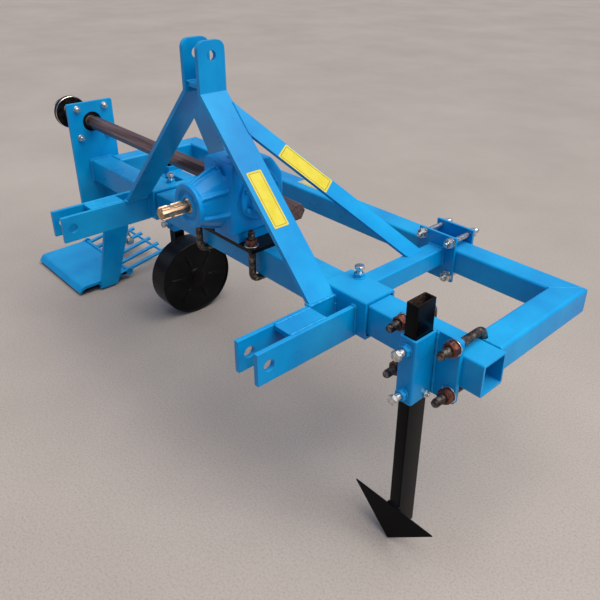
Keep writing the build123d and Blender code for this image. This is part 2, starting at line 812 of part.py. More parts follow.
# Share: a triangle, point down, flat on the shank and bent forward below its crease
nose_tan = tan(radians(share_nose_lean))
nose_y = shank_front - share_crease * nose_tan
nose_skin = share_thickness / cos(radians(share_nose_lean))
with BuildPart() as share:
    with BuildSketch(Plane.YZ.offset(share_x)) as share_side:
        with BuildLine() as share_side_line:
            Polyline(
                (shank_front, share_height),
                (shank_front, share_crease),
                (nose_y, 0),
                (nose_y - nose_skin, 0),
                (shank_front - share_thickness, share_crease - (nose_skin - share_thickness) / nose_tan),
                (shank_front - share_thickness, share_height),
                close=True,
            )
        make_face()
    extrude(amount=share_width / 2, both=True)
    with BuildSketch(Plane.XZ.offset(-shank_front)) as share_front:
        with BuildLine() as share_line:
            Polyline(
                (share_x - share_width / 2, share_height),
                (share_x + share_width / 2, share_height),
                (share_x, 0),
                close=True,
            )
        make_face()
    extrude(amount=share_height, both=True, mode=Mode.INTERSECT)
save(share, "share")

# Gauge wheel, its stem and its bracket on the left hitch tube
wheel_x = frame_middle - wheel_offset - wheel_width / 2
wheel_mid_y = front_face + wheel_y
stem_x = wheel_x - wheel_width / 2 - wheel_gap - wheel_tube / 2
socket_size = wheel_tube + 2 * wheel_socket_wall + 2 * socket_slack
socket_top = hitch_tube_z + hitch_tube / 2 + 20
socket_bottom = hitch_tube_z - hitch_tube / 2 - 20
with BuildPart() as wheel_bracket:
    with BuildSketch(Plane.YZ.offset(stem_x + socket_size / 2)) as arm_section:
        with Locations((wheel_mid_y, hitch_tube_z)):
            add(tube_section(hitch_tube, hitch_tube, hitch_tube_wall, tube_corner / 2))
    extrude(amount=left_tube_x - hitch_tube / 2 - stem_x - socket_size / 2)
    with BuildSketch(Plane.XY.offset(socket_bottom)) as socket_section:
        with Locations((stem_x, wheel_mid_y)):
            add(tube_section(socket_size, socket_size, wheel_socket_wall, tube_corner))
    extrude(amount=socket_top - socket_bottom)
    with BuildSketch(Plane.XZ.offset(wheel_tube / 2 - wheel_mid_y)) as wheel_set_hole:
        with Locations((stem_x, hitch_tube_z)):
            Circle(set_hole / 2)
    extrude(amount=wheel_tube, mode=Mode.SUBTRACT)
save(wheel_bracket, "wheel_bracket")

with BuildPart() as wheel_stem:
    with BuildSketch(Plane.XY.offset(wheel_radius - wheel_tube)) as stem_section:
        with Locations((stem_x, wheel_mid_y)):
            RectangleRounded(wheel_tube, wheel_tube, 4)
    extrude(amount=socket_top + 30 - wheel_radius + wheel_tube)
    with BuildSketch(Plane.YZ.offset(stem_x)) as axle_section:
        with Locations((wheel_mid_y, wheel_radius)):
            Circle(wheel_axle / 2)
    extrude(amount=wheel_x + wheel_width / 2 - stem_x + 2)
save(wheel_stem, "wheel_stem")

# Wheel: drum with a recessed web and a hub, turned about its axle
wheel_near = wheel_x + wheel_width / 2
with BuildPart() as gauge_wheel:
    with BuildSketch(Plane.YZ.offset(wheel_x - wheel_width / 2)) as drum_section:
        with Locations((wheel_mid_y, wheel_radius)):
            Circle(wheel_radius)
            Circle(wheel_radius - wheel_wall, mode=Mode.SUBTRACT)
    extrude(amount=wheel_width)
    with BuildSketch(Plane.YZ.offset(wheel_near - wheel_recess - wheel_web)) as web_section:
        with Locations((wheel_mid_y, wheel_radius)):
            Circle(wheel_radius - wheel_wall / 2)
    extrude(amount=wheel_web)
    with BuildSketch(Plane.YZ.offset(wheel_x - wheel_width / 2)) as hub_section:
        with Locations((wheel_mid_y, wheel_radius)):
            Circle(wheel_hub / 2)
    extrude(amount=wheel_width - 2)
    with BuildSketch(Plane.YZ.offset(wheel_x - wheel_width / 2)) as hub_bore:
        with Locations((wheel_mid_y, wheel_radius)):
            Circle(wheel_axle / 2 + running_gap)
    extrude(amount=wheel_width, mode=Mode.SUBTRACT)
save(gauge_wheel, "gauge_wheel")

# Input shaft for the tractor's drive line: splined stub, relief, and seat in the casting
input_tip_y = front_face + input_tip
relief_y = input_tip_y + spline_length
input_end_y = body_front_y + input_depth
input_stretches = (
    # start, end, diameter
    (input_tip_y, relief_y, input_diameter),
    (relief_y, neck_tip_y, relief_diameter),
    (neck_tip_y, input_end_y, input_seat),
)
with BuildPart() as input_shaft:
    for stretch_start, stretch_end, diameter in input_stretches:
        with BuildSketch(Plane.XZ.offset(-stretch_start)) as input_section:
            with Locations((gearbox_x, shaft_z)):
                Circle(diameter / 2)
        extrude(amount=stretch_start - stretch_end)
save(input_shaft, "input_shaft")

# Cross shaft: hexagon bar through the gearbox, turned round where the bearing carries it
hex_right = gearbox_x + hex_out
journal_start = left_end + 20
journal_end = crank_x - crank_thickness
with BuildPart() as cross_shaft:
    with BuildSketch(Plane.YZ.offset(journal_start)) as hex_section:
        with Locations((shaft_y, shaft_z)):
            RegularPolygon(hex_flats / 2, 6, major_radius=False)
    extrude(amount=hex_right - journal_start)
    with BuildSketch(Plane.YZ.offset(journal_start)) as journal_section:
        with Locations((shaft_y, shaft_z)):
            Circle(journal_diameter / 2)
    extrude(amount=crank_x - journal_start)
save(cross_shaft, "cross_shaft")

# Crank disc with its hub, and the pin that stands out from it
pin_y = shaft_y + crank_throw * cos(radians(crank_lead))
pin_z = shaft_z + crank_throw * sin(radians(crank_lead))
with BuildPart() as crank_disc:
    with BuildSketch(Plane.YZ.offset(crank_x)) as disc_section:
        with Locations((shaft_y, shaft_z)):
            Circle(crank_diameter / 2)
    extrude(amount=-crank_thickness)
    with BuildSketch(Plane.YZ.offset(crank_x)) as pin_head_section:
        with Locations((pin_y, pin_z)):
            Circle(pin_head / 2)
        with Locations((shaft_y, shaft_z)):
            Circle(journal_diameter / 2, mode=Mode.SUBTRACT)
    extrude(amount=pin_head_depth)
    with BuildSketch(Plane.YZ.offset(crank_x - crank_thickness)) as crank_pin_section:
        with Locations((pin_y, pin_z)):
            Circle(crank_pin / 2)
    extrude(amount=-(rod_side_gap + rod_width + pin_tail))
    with BuildSketch(Plane.YZ.offset(crank_x - crank_thickness - rod_side_gap - rod_width - 2)) as crank_nut:
        with Locations((pin_y, pin_z)):
            RegularPolygon(crank_pin * 0.75, 6, major_radius=False)
    extrude(amount=-20)
save(crank_disc, "crank_disc")

# Connecting rod from the crank pin down to the grate
rod_length = hypot(foot_pin_y - pin_y, foot_pin_z - pin_z)
rod_angle = degrees(atan2(foot_pin_z - pin_z, foot_pin_y - pin_y))
rod_plane = Plane(
    origin=(rod_x, pin_y, pin_z),
    x_dir=(0, cos(radians(rod_angle)), sin(radians(rod_angle))),
    z_dir=(1, 0, 0),
)
with BuildPart() as connecting_rod:
    with BuildSketch(rod_plane) as rod_eyes:
        Circle(rod_eye / 2)
        with Locations((rod_length, 0)):
            Circle(rod_foot_eye / 2)
    extrude(amount=rod_width / 2, both=True)
    with BuildSketch(rod_plane) as rod_bar_profile:
        with Locations((rod_length / 2, 0)):
            Rectangle(rod_length, rod_bar)
    extrude(amount=rod_bar_thickness / 2, both=True)
    with BuildSketch(rod_plane) as rod_bore:
        Circle(crank_pin / 2 + running_gap)
    extrude(amount=rod_width, both=True, mode=Mode.SUBTRACT)
save(connecting_rod, "connecting_rod")

# Set bolts: each passes a sleeve wall, bears on the tube inside and stands out with its head
sleeve_shell = (sleeve_size - front_size) / 2
rear_shell = (sleeve_size - rear_size) / 2
share_front_shell = (share_sleeve_depth - shank_depth) / 2
share_side_shell = (share_sleeve_width - shank_width) / 2
socket_shell = (socket_size - wheel_tube) / 2
set_bolt_rows = (
    # name, seats: point, way out, shell passed, neck outside it
    (
        "hitch_set_bolts",
        [
            (
                (frame_middle + outward * sleeve_offset + sleeve_set_side, front_centre_y + sleeve_set_back, beam_top),
                (0, 0, 1),
                sleeve_shell,
                set_neck,
            )
            for outward in (-1, 1)
        ],
    ),
    (
        "rear_sleeve_set_bolts",
        [((left_tube_x, rear_centre_y, beam_top), (0, 0, 1), rear_shell, set_neck)],
    ),
    (
        "share_set_bolts",
        [
            ((share_x, shank_front, share_plate_top - drop), (0, -1, 0), share_front_shell, share_set_neck)
            for drop in share_set_drops
        ]
        + [
            (
                (share_x + shank_width / 2, sleeve_mid_y, share_plate_top - share_side_drop),
                (1, 0, 0),
                share_side_shell,
                set_neck,
            )
        ],
    ),
    (
        "wheel_set_bolt",
        [((stem_x, wheel_mid_y - wheel_tube / 2, hitch_tube_z), (0, -1, 0), socket_shell, set_neck)],
    ),
)
for name, seats in set_bolt_rows:
    with BuildPart() as set_bolts:
        for seat, way, shell, neck in seats:
            seat_plane = Plane(origin=seat, z_dir=way)
            with BuildSketch(seat_plane):
                Circle(set_bolt / 2)
            extrude(amount=shell + neck)
            with BuildSketch(seat_plane.offset(shell + neck)):
                RegularPolygon(set_head / 2, 6, major_radius=False)
            extrude(amount=set_head_height)
    save(set_bolts, name)
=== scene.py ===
import bmesh
import bpy
from math import asin, cos, pi, radians, sin, sqrt, tan
from mathutils import Matrix, Vector, noise


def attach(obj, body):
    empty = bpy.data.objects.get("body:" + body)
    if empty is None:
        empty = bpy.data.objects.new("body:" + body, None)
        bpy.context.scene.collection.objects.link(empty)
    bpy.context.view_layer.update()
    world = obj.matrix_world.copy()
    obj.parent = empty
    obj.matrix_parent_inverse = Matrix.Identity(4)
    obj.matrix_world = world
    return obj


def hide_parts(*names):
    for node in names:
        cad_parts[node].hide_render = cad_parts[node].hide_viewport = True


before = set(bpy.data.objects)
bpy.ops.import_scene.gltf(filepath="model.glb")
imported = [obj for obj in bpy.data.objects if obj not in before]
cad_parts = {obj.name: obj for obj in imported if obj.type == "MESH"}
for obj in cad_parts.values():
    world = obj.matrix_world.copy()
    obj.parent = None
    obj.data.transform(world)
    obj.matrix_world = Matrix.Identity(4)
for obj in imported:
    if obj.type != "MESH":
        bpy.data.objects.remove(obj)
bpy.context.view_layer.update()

# The machine's own places, in metres: X along the beams, Y rearward, Z up
RIGHT_END, LEFT_END, MIDDLE = 1.0465, -0.6445, 0.201
FRONT_FACE, BEAM_Y, BEAM_REAR = -0.1, -0.06, -0.02
BEAM_LOW, BEAM_Z, BEAM_TOP = 0.455, 0.495, 0.535
REAR_FRONT, REAR_Y, FRAME_REAR = 0.284, 0.319, 0.354
REAR_LOW, REAR_Z = 0.465, 0.5
RIGHT_TUBE_INNER, RIGHT_TUBE_OUTER, LEFT_TUBE_INNER = 0.9635, 1.0335, -0.5745
SLEEVE_OFFSET, TUBE_OFFSET = 0.464, 0.436
HITCH_TUBE_HALF, HITCH_TUBE_LOW, HITCH_TUBE_TOP = 0.025, 0.48, 0.53
ARM_TOP, CHEEK_INNER, CHEEK_OUTER = 0.5245, 0.027, 0.039
MAST_RUN, MAST_FALL, BEND_OFFSET, BEND_Y, BEND_Z = 0.6895, 0.7244, 0.038, -0.11, 0.94
SPACER_LOW, SPACER_TOP = 0.949, 0.961
PLATE_OUTER = LEFT_END - 0.012
SHAFT_Y, SHAFT_Z = -0.073, 0.672
GEARBOX_X, BASE_TOP, BODY_TOP = 0.246, 0.547, 0.755
SHARE_X, SHARE_FACE, SHARE_TOP, SHARE_LOW = 0.9145, -0.112, 0.573, 0.413
SHANK_FRONT, SHANK_Y, SLEEVE_FACE = -0.177, -0.147, -0.182
CRANK_NEAR, CRANK_FAR = -0.8115, -0.8315
PIN_Y, PIN_Z = -0.085, 0.688
HINGE_Y, HINGE_Z = -0.005, 0.0347
BLADE_FAR = PLATE_OUTER - 0.384
GRATE_RAKE = radians(11)
WHEEL_FAR, WHEEL_Y, WHEEL_Z = -0.347, 0.071, 0.141
STEM_X = -0.379

# Ways to point
TO_RIGHT, TO_LEFT, TO_REAR, TO_FRONT, TO_SKY = (1, 0, 0), (-1, 0, 0), (0, 1, 0), (0, -1, 0), (0, 0, 1)


def paint(hex_code):
    """Linear colour of an sRGB hex value."""
    channels = [int(hex_code[i:i + 2], 16) / 255 for i in (1, 3, 5)]
    return [c / 12.92 if c <= 0.04045 else ((c + 0.055) / 1.055) ** 2.4 for c in channels] + [1.0]


def per_metre(size_mm):
    """Scale of a pattern whose features have this size."""
    return 1000 / size_mm


def node(tree, kind, inputs=(), stops=(), **settings):
    """Adds a shader node: its settings, then its inputs by value or by link, and a ramp's colour stops."""
    step = tree.nodes.new("ShaderNode" + kind)
    for name, value in settings.items():
        setattr(step, name, value)
    for key, value in dict(inputs).items():
        if isinstance(value, bpy.types.NodeSocket):
            tree.links.new(value, step.inputs[key])
        else:
            step.inputs[key].default_value = value
    for index, (place, colour) in enumerate(stops):
        stop = step.color_ramp.elements[index] if index < 2 else step.color_ramp.elements.new(place)
        stop.position, stop.color = place, paint(colour)
    return step


def new_material(name):
    """Material with a bare shader: itself, its tree, the object's own coordinates and the shader."""
    material = bpy.data.materials.new(name)
    material.use_nodes = True
    tree = material.node_tree
    tree.nodes.clear()
    shader = node(tree, "BsdfPrincipled")
    node(tree, "OutputMaterial", {"Surface": shader.outputs["BSDF"]})
    return material, tree, node(tree, "TexCoord").outputs["Object"], shader


def turned_edges(tree, radius):
    """Normal rounded over the edges, and a mask that is bright where an edge turns."""
    soft = node(tree, "Bevel", {"Radius": radius}, samples=6).outputs["Normal"]
    true = node(tree, "NewGeometry").outputs["True Normal"]
    along_true = node(tree, "VectorMath", {0: soft, 1: true}, operation="DOT_PRODUCT").outputs["Value"]
    turn = node(tree, "Math", {0: 1.0, 1: along_true}, operation="SUBTRACT", use_clamp=True)
    return soft, turn.outputs[0]


def cavity(tree, place, bore):
    """One inside a tube's bore, nought outside; bore gives an axis, its centre and its half width, twice."""
    axes = node(tree, "SeparateXYZ", {0: place}).outputs
    within = []
    for axis, centre, half in bore:
        off = node(tree, "Math", {0: axes[axis], 1: centre}, operation="SUBTRACT").outputs[0]
        far = node(tree, "Math", {0: off}, operation="ABSOLUTE").outputs[0]
        within.append(node(tree, "Math", {0: far, 1: half}, operation="LESS_THAN").outputs[0])
    return node(tree, "Math", {0: within[0], 1: within[1]}, operation="MULTIPLY").outputs[0]


def enamel(name, deep, base, light, gloss, peel_mm, peel, edge_mm, rubbed="#5FB8DC", dust=0.05, sheen=0.2,
           worn=None, bore=None, bare=None):
    """Sprayed enamel on steel: cloudy depth, pale edges (thinner coat and a painted highlight) with small
    chips, orange peel, faint dust.
    """
    cloud_mm, grit_mm, patch_mm = 150, 7, 70
    material, tree, place, shader = new_material(name)
    pattern = {"Vector": place, "Scale": per_metre(cloud_mm), "Detail": 4.0}
    cloud = node(tree, "TexNoise", pattern).outputs["Fac"]
    body = node(tree, "ValToRGB", {0: cloud}, ((0.24, deep), (0.8, light), (0.5, base))).outputs[0]

    # Faint runs, drawn out downwards
    runs = node(tree, "Mapping", {"Vector": place, "Scale": (55.0, 55.0, 7.0)}).outputs[0]
    run = node(tree, "TexNoise", {"Vector": runs, "Scale": 1.0, "Detail": 2.0}).outputs["Fac"]
    run = node(tree, "MapRange", {"Value": run, "From Min": 0.56, "From Max": 0.74, "To Max": 0.14})
    body = node(tree, "Mix", {0: run.outputs[0], 6: body, 7: paint(deep)}, data_type="RGBA").outputs[2]

    # Edges paler where the coat thins, and a painted highlight along them; chipped here and there
    soft, edge = turned_edges(tree, edge_mm / 1000)
    thin_coat_and_highlight = node(tree, "Math", {0: edge, 1: 2.6}, operation="MULTIPLY", use_clamp=True).outputs[0]
    thin_coat_and_highlight = node(tree, "Math", {0: thin_coat_and_highlight, 1: 0.75}, operation="MULTIPLY").outputs[0]
    # Pale edge colour: partly thinner coat, partly a painted highlight
    body = node(tree, "Mix", {0: thin_coat_and_highlight, 6: body, 7: paint(light)}, data_type="RGBA").outputs[2]
    pattern = {"Vector": place, "Scale": per_metre(grit_mm), "Detail": 5.0, "Roughness": 0.7}
    grit = node(tree, "TexNoise", pattern).outputs["Fac"]
    chip = node(tree, "MapRange", {"Value": grit, "From Min": 0.6, "From Max": 0.66}).outputs[0]
    chip = node(tree, "Math", {0: chip, 1: thin_coat_and_highlight}, operation="MULTIPLY").outputs[0]
    body = node(tree, "Mix", {0: chip, 6: body, 7: paint(rubbed)}, data_type="RGBA").outputs[2]

    # Dust on what faces up
    up = node(tree, "SeparateXYZ", {0: node(tree, "NewGeometry").outputs["Normal"]}).outputs[2]
    top = node(tree, "MapRange", {"Value": up, "From Min": 0.5, "From Max": 1.0, "To Max": dust}).outputs[0]
    fall = node(tree, "Math", {0: top, 1: grit}, operation="MULTIPLY").outputs[0]
    body = node(tree, "Mix", {0: fall, 6: body, 7: paint("#B9B2A8")}, data_type="RGBA").outputs[2]

    shine = node(tree, "MapRange", {"Value": cloud, "To Min": gloss - 0.08, "To Max": gloss + 0.1})
    shine = shine.outputs[0]
    if worn:
        pattern = {"Vector": place, "Scale": per_metre(patch_mm), "Detail": 6.0, "Roughness": 0.62}
        patch = node(tree, "TexNoise", pattern).outputs["Fac"]
        patch = node(tree, "MapRange", {"Value": patch, "From Min": 0.52, "From Max": 0.74, "To Max": 0.5})
        body = node(tree, "Mix", {0: patch.outputs[0], 6: body, 7: paint(worn)}, data_type="RGBA").outputs[2]
    if bore:
        inside = cavity(tree, place, bore)
        scale = node(tree, "ValToRGB", {0: grit}, ((0.3, deep), (0.75, bare))).outputs[0]
        body = node(tree, "Mix", {0: inside, 6: body, 7: scale}, data_type="RGBA").outputs[2]
        shine = node(tree, "Math", {0: shine, 1: inside}, operation="MAXIMUM").outputs[0]
    tree.links.new(body, shader.inputs["Base Color"])
    tree.links.new(shine, shader.inputs["Roughness"])
    shader.inputs["IOR"].default_value = 1.5
    shader.inputs["Specular IOR Level"].default_value = sheen
    pattern = {"Vector": place, "Scale": per_metre(peel_mm), "Detail": 2.0}
    waves = node(tree, "TexNoise", pattern).outputs["Fac"]
    bump = node(tree, "Bump", {"Height": waves, "Strength": peel, "Distance": 0.0004, "Normal": soft})
    tree.links.new(bump.outputs[0], shader.inputs["Normal"])
    return material


def steel(name, dark, base, light, rough, spread_mm, grain_mm, drawn=(1, 1, 1), edge_mm=0.7, metal=1.0,
          journal=None):
    """Bare, plated or oxidised steel: mottled tone, grain along the way it was worked, bright worn edges."""
    material, tree, place, shader = new_material(name)
    laid = node(tree, "Mapping", {"Vector": place, "Scale": drawn}).outputs[0]
    pattern = {"Vector": laid, "Scale": per_metre(spread_mm), "Detail": 6.0, "Roughness": 0.62}
    cloud = node(tree, "TexNoise", pattern).outputs["Fac"]
    body = node(tree, "ValToRGB", {0: cloud}, ((0.32, dark), (0.68, light), (0.5, base))).outputs[0]
    soft, edge = turned_edges(tree, edge_mm / 1000)
    bright = node(tree, "Math", {0: edge, 1: 1.8}, operation="MULTIPLY", use_clamp=True).outputs[0]
    body = node(tree, "Mix", {0: bright, 6: body, 7: paint(light)}, data_type="RGBA").outputs[2]
    if journal:
        reach = node(tree, "SeparateXYZ", {0: place}).outputs[0]
        ground = node(tree, "Math", {0: reach, 1: journal}, operation="LESS_THAN").outputs[0]
        body = node(tree, "Mix", {0: ground, 6: body, 7: paint("#B7B2A8")}, data_type="RGBA").outputs[2]
    tree.links.new(body, shader.inputs["Base Color"])
    shader.inputs["Metallic"].default_value = metal
    pattern = {"Vector": laid, "Scale": per_metre(grain_mm), "Detail": 3.0}
    grain = node(tree, "TexNoise", pattern).outputs["Fac"]
    shine = node(tree, "MapRange", {"Value": grain, "To Min": rough - 0.12, "To Max": rough + 0.14})
    tree.links.new(shine.outputs[0], shader.inputs["Roughness"])
    bump = node(tree, "Bump", {"Height": grain, "Strength": 0.3, "Distance": 0.0003, "Normal": soft})
    tree.links.new(bump.outputs[0], shader.inputs["Normal"])
    return material


def vinyl(name, base, aged):
    """Printed vinyl: flat colour that fades in patches, a low sheen and dusty grain."""
    fade_mm, grain_mm = 35, 2
    material, tree, place, shader = new_material(name)
    fade = node(tree, "TexNoise", {"Vector": place, "Scale": per_metre(fade_mm), "Detail": 3.0})
    body = node(tree, "ValToRGB", {0: fade.outputs["Fac"]}, ((0.35, base), (0.75, aged))).outputs[0]
    tree.links.new(body, shader.inputs["Base Color"])
    fine = node(tree, "TexNoise", {"Vector": place, "Scale": per_metre(grain_mm), "Detail": 2.0})
    shine = node(tree, "MapRange", {"Value": fine.outputs["Fac"], "To Min": 0.34, "To Max": 0.5}).outputs[0]
    tree.links.new(shine, shader.inputs["Roughness"])
    return material


# Azure gloss enamel sprayed on welded steel: 3 mm orange peel, edges a paler blue where it thins, which also
# paints in an edge highlight
azure_coat = ("#0278BA", "#008ECA", "#08A2DA", 0.28, 3.0, 0.22, 2.0)
azure = enamel("azure_enamel", *azure_coat)
# The same enamel on the front beam, whose bore took only a dark dusting of it
azure_beam = enamel("azure_enamel_open_tube", *azure_coat, bare="#07406E",
                    bore=((1, BEAM_Y, 0.0335), (2, BEAM_Z, 0.0335)))
# The same enamel over the gearbox's sand casting: pebbly 2.4 mm skin
azure_cast = enamel("azure_enamel_on_casting", "#0278BE", "#0090D6", "#0CA6E8", 0.32, 2.4, 0.85, 3.0)
# Black satin enamel on the wheel and the base plate: 4 mm peel, greyer where it was handled
black = enamel("black_enamel", "#020203", "#050506", "#15171A", 0.28, 4.0, 0.3, 1.6, "#4A4642", 0.03, 0.12)
# The same black on shank and share, scuffed brown by soil; the shank's bore is bare brown scale
black_worn = enamel("black_enamel_scuffed", "#010102", "#020306", "#0B0D12", 0.2, 4.0, 0.3, 1.6, "#8A8378",
                    0.03, 0.08, "#100D0B", ((0, SHARE_X, 0.0114), (1, SHANK_Y, 0.0264)), "#57453A")
# Zinc plate, passivated: pale and a little blue, softly shiny
zinc = steel("zinc_plate", "#8F9392", "#C9CCCA", "#F0F1EE", 0.3, 7, 1.2)
# Phosphated nuts: red-brown, dull, rubbed on the corners
phosphate = steel("phosphated_nut", "#38201A", "#65382D", "#9A6350", 0.5, 9, 1.6, metal=0.7)
# Oiled black-oxide rods and threads: dark brown-grey with a soft gleam
oxide_rod = steel("black_oxide_rod", "#2A2421", "#4A423D", "#8E857B", 0.4, 12, 1.4, metal=0.85)
# Rolled hexagon bar: brown mill scale with long drawing streaks, ground bright where the bearing runs
mill_scale = steel("rolled_bar_scale", "#44332D", "#624A42", "#846A60", 0.38, 6, 1.6, drawn=(0.03, 1, 1),
                   edge_mm=1.2, metal=0.5, journal=LEFT_END - 0.002)
# Splined stub: hardened, oiled, bronze temper colours drawn out along its length
tempered = steel("tempered_spline", "#8A6F57", "#B99B7C", "#F0E2C8", 0.3, 14, 1.2, drawn=(1, 0.15, 1))
# Crank disc: black oxide over turned steel
black_oxide = steel("black_oxide_crank", "#0B0A09", "#191614", "#39322C", 0.44, 18, 2.0, metal=0.8)
# Turned steel left bright on hub, collar, pin and the disc's rubbed corner
turned_steel = steel("turned_bright_steel", "#8A867E", "#BDB9B0", "#E8E5DC", 0.26, 10, 0.9)
# Nitrile rubber of the shaft seals: black, dull, faintly grained
nitrile = enamel("nitrile_seal", "#0B0B0C", "#121213", "#1B1B1D", 0.55, 1.2, 0.4, 0.5, "#1B1B1D", 0.1)
# Vinyl stickers: yellow, a yellow that the sun has paled, and the brown ink of their border lines
yellow = vinyl("yellow_vinyl", "#C9B90C", "#D2C640")
pale = vinyl("faded_vinyl", "#C2BA78", "#B5B08A")
border_ink = vinyl("border_ink", "#6B4A12", "#7A5A1E")

node_finish = (
    (azure, ("rear_beam", "right_end_tube", "left_end_tube", "lower_arm_right", "lower_arm_left",
             "hitch_tube_right", "hitch_tube_left", "mast_leg_right", "mast_leg_left", "brace_right",
             "brace_left", "rear_clamp_plates", "side_plate", "wheel_bracket", "grate")),
    (black, ("gearbox_base", "wheel_stem")),
    (mill_scale, ("cross_shaft",)),
    (zinc, ("connecting_rod",)),
)
for finish, names in node_finish:
    for name in names:
        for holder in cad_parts[name].material_slots:
            holder.link = "OBJECT"
            holder.material = finish


# Shaping helpers

def made(name, mesh, finish, body="frame", replaces=None, crease=32):
    """Piece from a bmesh: smooth but for its creases, in its finish, riding on its body."""
    bmesh.ops.recalc_face_normals(mesh, faces=mesh.faces)
    data = bpy.data.meshes.new(name)
    mesh.to_mesh(data)
    mesh.free()
    data.materials.append(finish)
    data.shade_smooth()
    data.set_sharp_from_angle(angle=radians(crease))
    thing = bpy.data.objects.new(name, data)
    bpy.context.scene.collection.objects.link(thing)
    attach(thing, body)
    if replaces:
        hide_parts(replaces)
    return thing


def along(start, way):
    """Frame whose Z runs along way from start."""
    heading = Vector(way).normalized().to_track_quat("Z", "Y")
    return Matrix.Translation(Vector(start)) @ heading.to_matrix().to_4x4()


def axes_at(origin, right, up):
    """Frame from its origin and its first two axes."""
    right, up = Vector(right).normalized(), Vector(up).normalized()
    out = right.cross(up)
    rows = [(right[i], up[i], out[i], origin[i]) for i in range(3)]
    return Matrix(rows + [(0, 0, 0, 1)])


def turn_of(index, count):
    """Angle of one of count even steps round a circle."""
    return 2 * pi * index / count


def skin(mesh, rings, joined=False):
    """Faces between rings of points; the ends are shut, or the last ring is joined to the first."""
    rows = [[mesh.verts.new(point) for point in ring] for ring in rings]
    count = len(rows[0])
    for low, high in list(zip(rows, rows[1:])) + ([(rows[-1], rows[0])] if joined else []):
        for index in range(count):
            after = (index + 1) % count
            mesh.faces.new((low[index], low[after], high[after], high[index]))
    if not joined:
        mesh.faces.new(rows[0][::-1])
        mesh.faces.new(rows[-1])


def turned(mesh, place, profile, sides=36, joined=False):
    """Lathe-turned form from (radius, height) points."""
    angles = [turn_of(index, sides) for index in range(sides)]
    skin(mesh, [[place @ Vector((r * cos(a), r * sin(a), h)) for a in angles] for r, h in profile], joined)


def washer(mesh, place, bore, rim, thick):
    """Flat washer with eased rims."""
    ease = thick * 0.2
    turned(mesh, place, [
        (bore, 0), (rim - ease, 0), (rim, ease), (rim, thick - ease), (rim - ease, thick), (bore, thick),
    ], 28, True)


def hexagon(mesh, place, across, height, bore=0.0):
    """Nut or head: flats with the arcs that its end chamfers cut, and a countersunk bore if it has one."""
    sides = 36
    angles = [turn_of(index, sides) for index in range(sides)]
    reach = [across / 2 / cos((a + pi / 6) % (pi / 3) - pi / 6) for a in angles]
    face = across * 0.47
    drop = [(r - face) * 0.6 for r in reach]
    under, over = list(zip(reach, drop)), [(r, height - d) for r, d in zip(reach, drop)]
    rings = [[(face, 0)] * sides, under, over, [(face, height)] * sides]
    if bore:
        for point in ((bore * 1.12, height), (bore, height - bore * 0.12), (bore, 0)):
            rings.append([point] * sides)
    for index, ring in enumerate(rings):
        rings[index] = [place @ Vector((r * cos(a), r * sin(a), h)) for (r, h), a in zip(ring, angles)]
    skin(mesh, rings, bool(bore))


def threaded(mesh, place, radius, length, pitch=0.003, sides=20):
    """Threaded end: a true helix round a core, with a chamfered point."""
    core = radius * 0.86
    turned(mesh, place, [(core, 0), (core, length - 0.5 * pitch), (core * 0.84, length)], sides)
    crest, root = [], []
    for step in range(int((length - 1.4 * pitch) / pitch) * sides + 1):
        angle, height = turn_of(step, sides), pitch * step / sides
        outer = Vector((radius * cos(angle), radius * sin(angle), height + 0.5 * pitch))
        crest.append(mesh.verts.new(place @ outer))
        root.append(mesh.verts.new(place @ Vector((core * cos(angle), core * sin(angle), height))))
    for step in range(len(crest) - 1):
        mesh.faces.new((root[step], root[step + 1], crest[step + 1], crest[step]))
        if step + sides + 1 < len(root):
            mesh.faces.new((crest[step], crest[step + 1], root[step + sides + 1], root[step + sides]))


def outline(width, depth, corner, steps=5):
    """Points round a rectangle with rounded corners."""
    points = []
    for turn, (right, up) in enumerate(((1, 1), (-1, 1), (-1, -1), (1, -1))):
        for step in range(steps + 1):
            angle = (turn + step / steps) * pi / 2
            x = right * (width / 2 - corner) + corner * cos(angle)
            points.append((x, up * (depth / 2 - corner) + corner * sin(angle)))
    return points


def tube(mesh, place, width, depth, wall, corner, length):
    """Rolled rectangular tube, open at both ends."""
    ease = 0.0006
    outer = outline(width, depth, corner)
    inner = outline(width - 2 * wall, depth - 2 * wall, max(corner - wall, 0.0015))
    levels = ((outer, ease), (outer, length - ease), (outer, length), (inner, length), (inner, 0), (outer, 0))
    rings = []
    for points, height in levels:
        pull = 1 - 2 * ease / width if points is outer and height in (0, length) else 1
        rings.append([place @ Vector((x * pull, y * pull, height)) for x, y in points])
    skin(mesh, rings, True)


def slab(mesh, place, points, thick, ease=0.001):
    """Plate cut to an outline, with its edges eased."""
    pulls = [1 - ease / max(abs(x), abs(y), 1e-6) for x, y in points]
    inset = [(x * pull, y * pull) for (x, y), pull in zip(points, pulls)]
    levels = ((inset, 0), (points, ease), (points, thick - ease), (inset, thick))
    skin(mesh, [[place @ Vector((x, y, height)) for x, y in ring] for ring, height in levels])


def bent_rod(mesh, points, radius, bend, across, sides=24):
    """Round rod through straight runs in one plane, bent at each corner; across is the plane's normal."""
    steps = 10
    points, across = [Vector(p) for p in points], Vector(across)
    line = [points[0]]
    for before, corner, after in zip(points, points[1:], points[2:]):
        into, out = (corner - before).normalized(), (after - corner).normalized()
        turn = into.angle(out)
        start = corner - into * bend * tan(turn / 2)
        centre = corner + (out - into).normalized() * bend / cos(turn / 2)
        arm = start - centre
        for step in range(steps + 1):
            line.append(centre + arm * cos(turn * step / steps) + into * bend * sin(turn * step / steps))
    line.append(points[-1])
    angles = [turn_of(index, sides) for index in range(sides)]
    rings = []
    for index, point in enumerate(line):
        run = (line[min(index + 1, len(line) - 1)] - line[max(index - 1, 0)]).normalized()
        side = run.cross(across).normalized()
        rings.append([point + radius * (side * cos(a) + across * sin(a)) for a in angles])
    skin(mesh, rings)


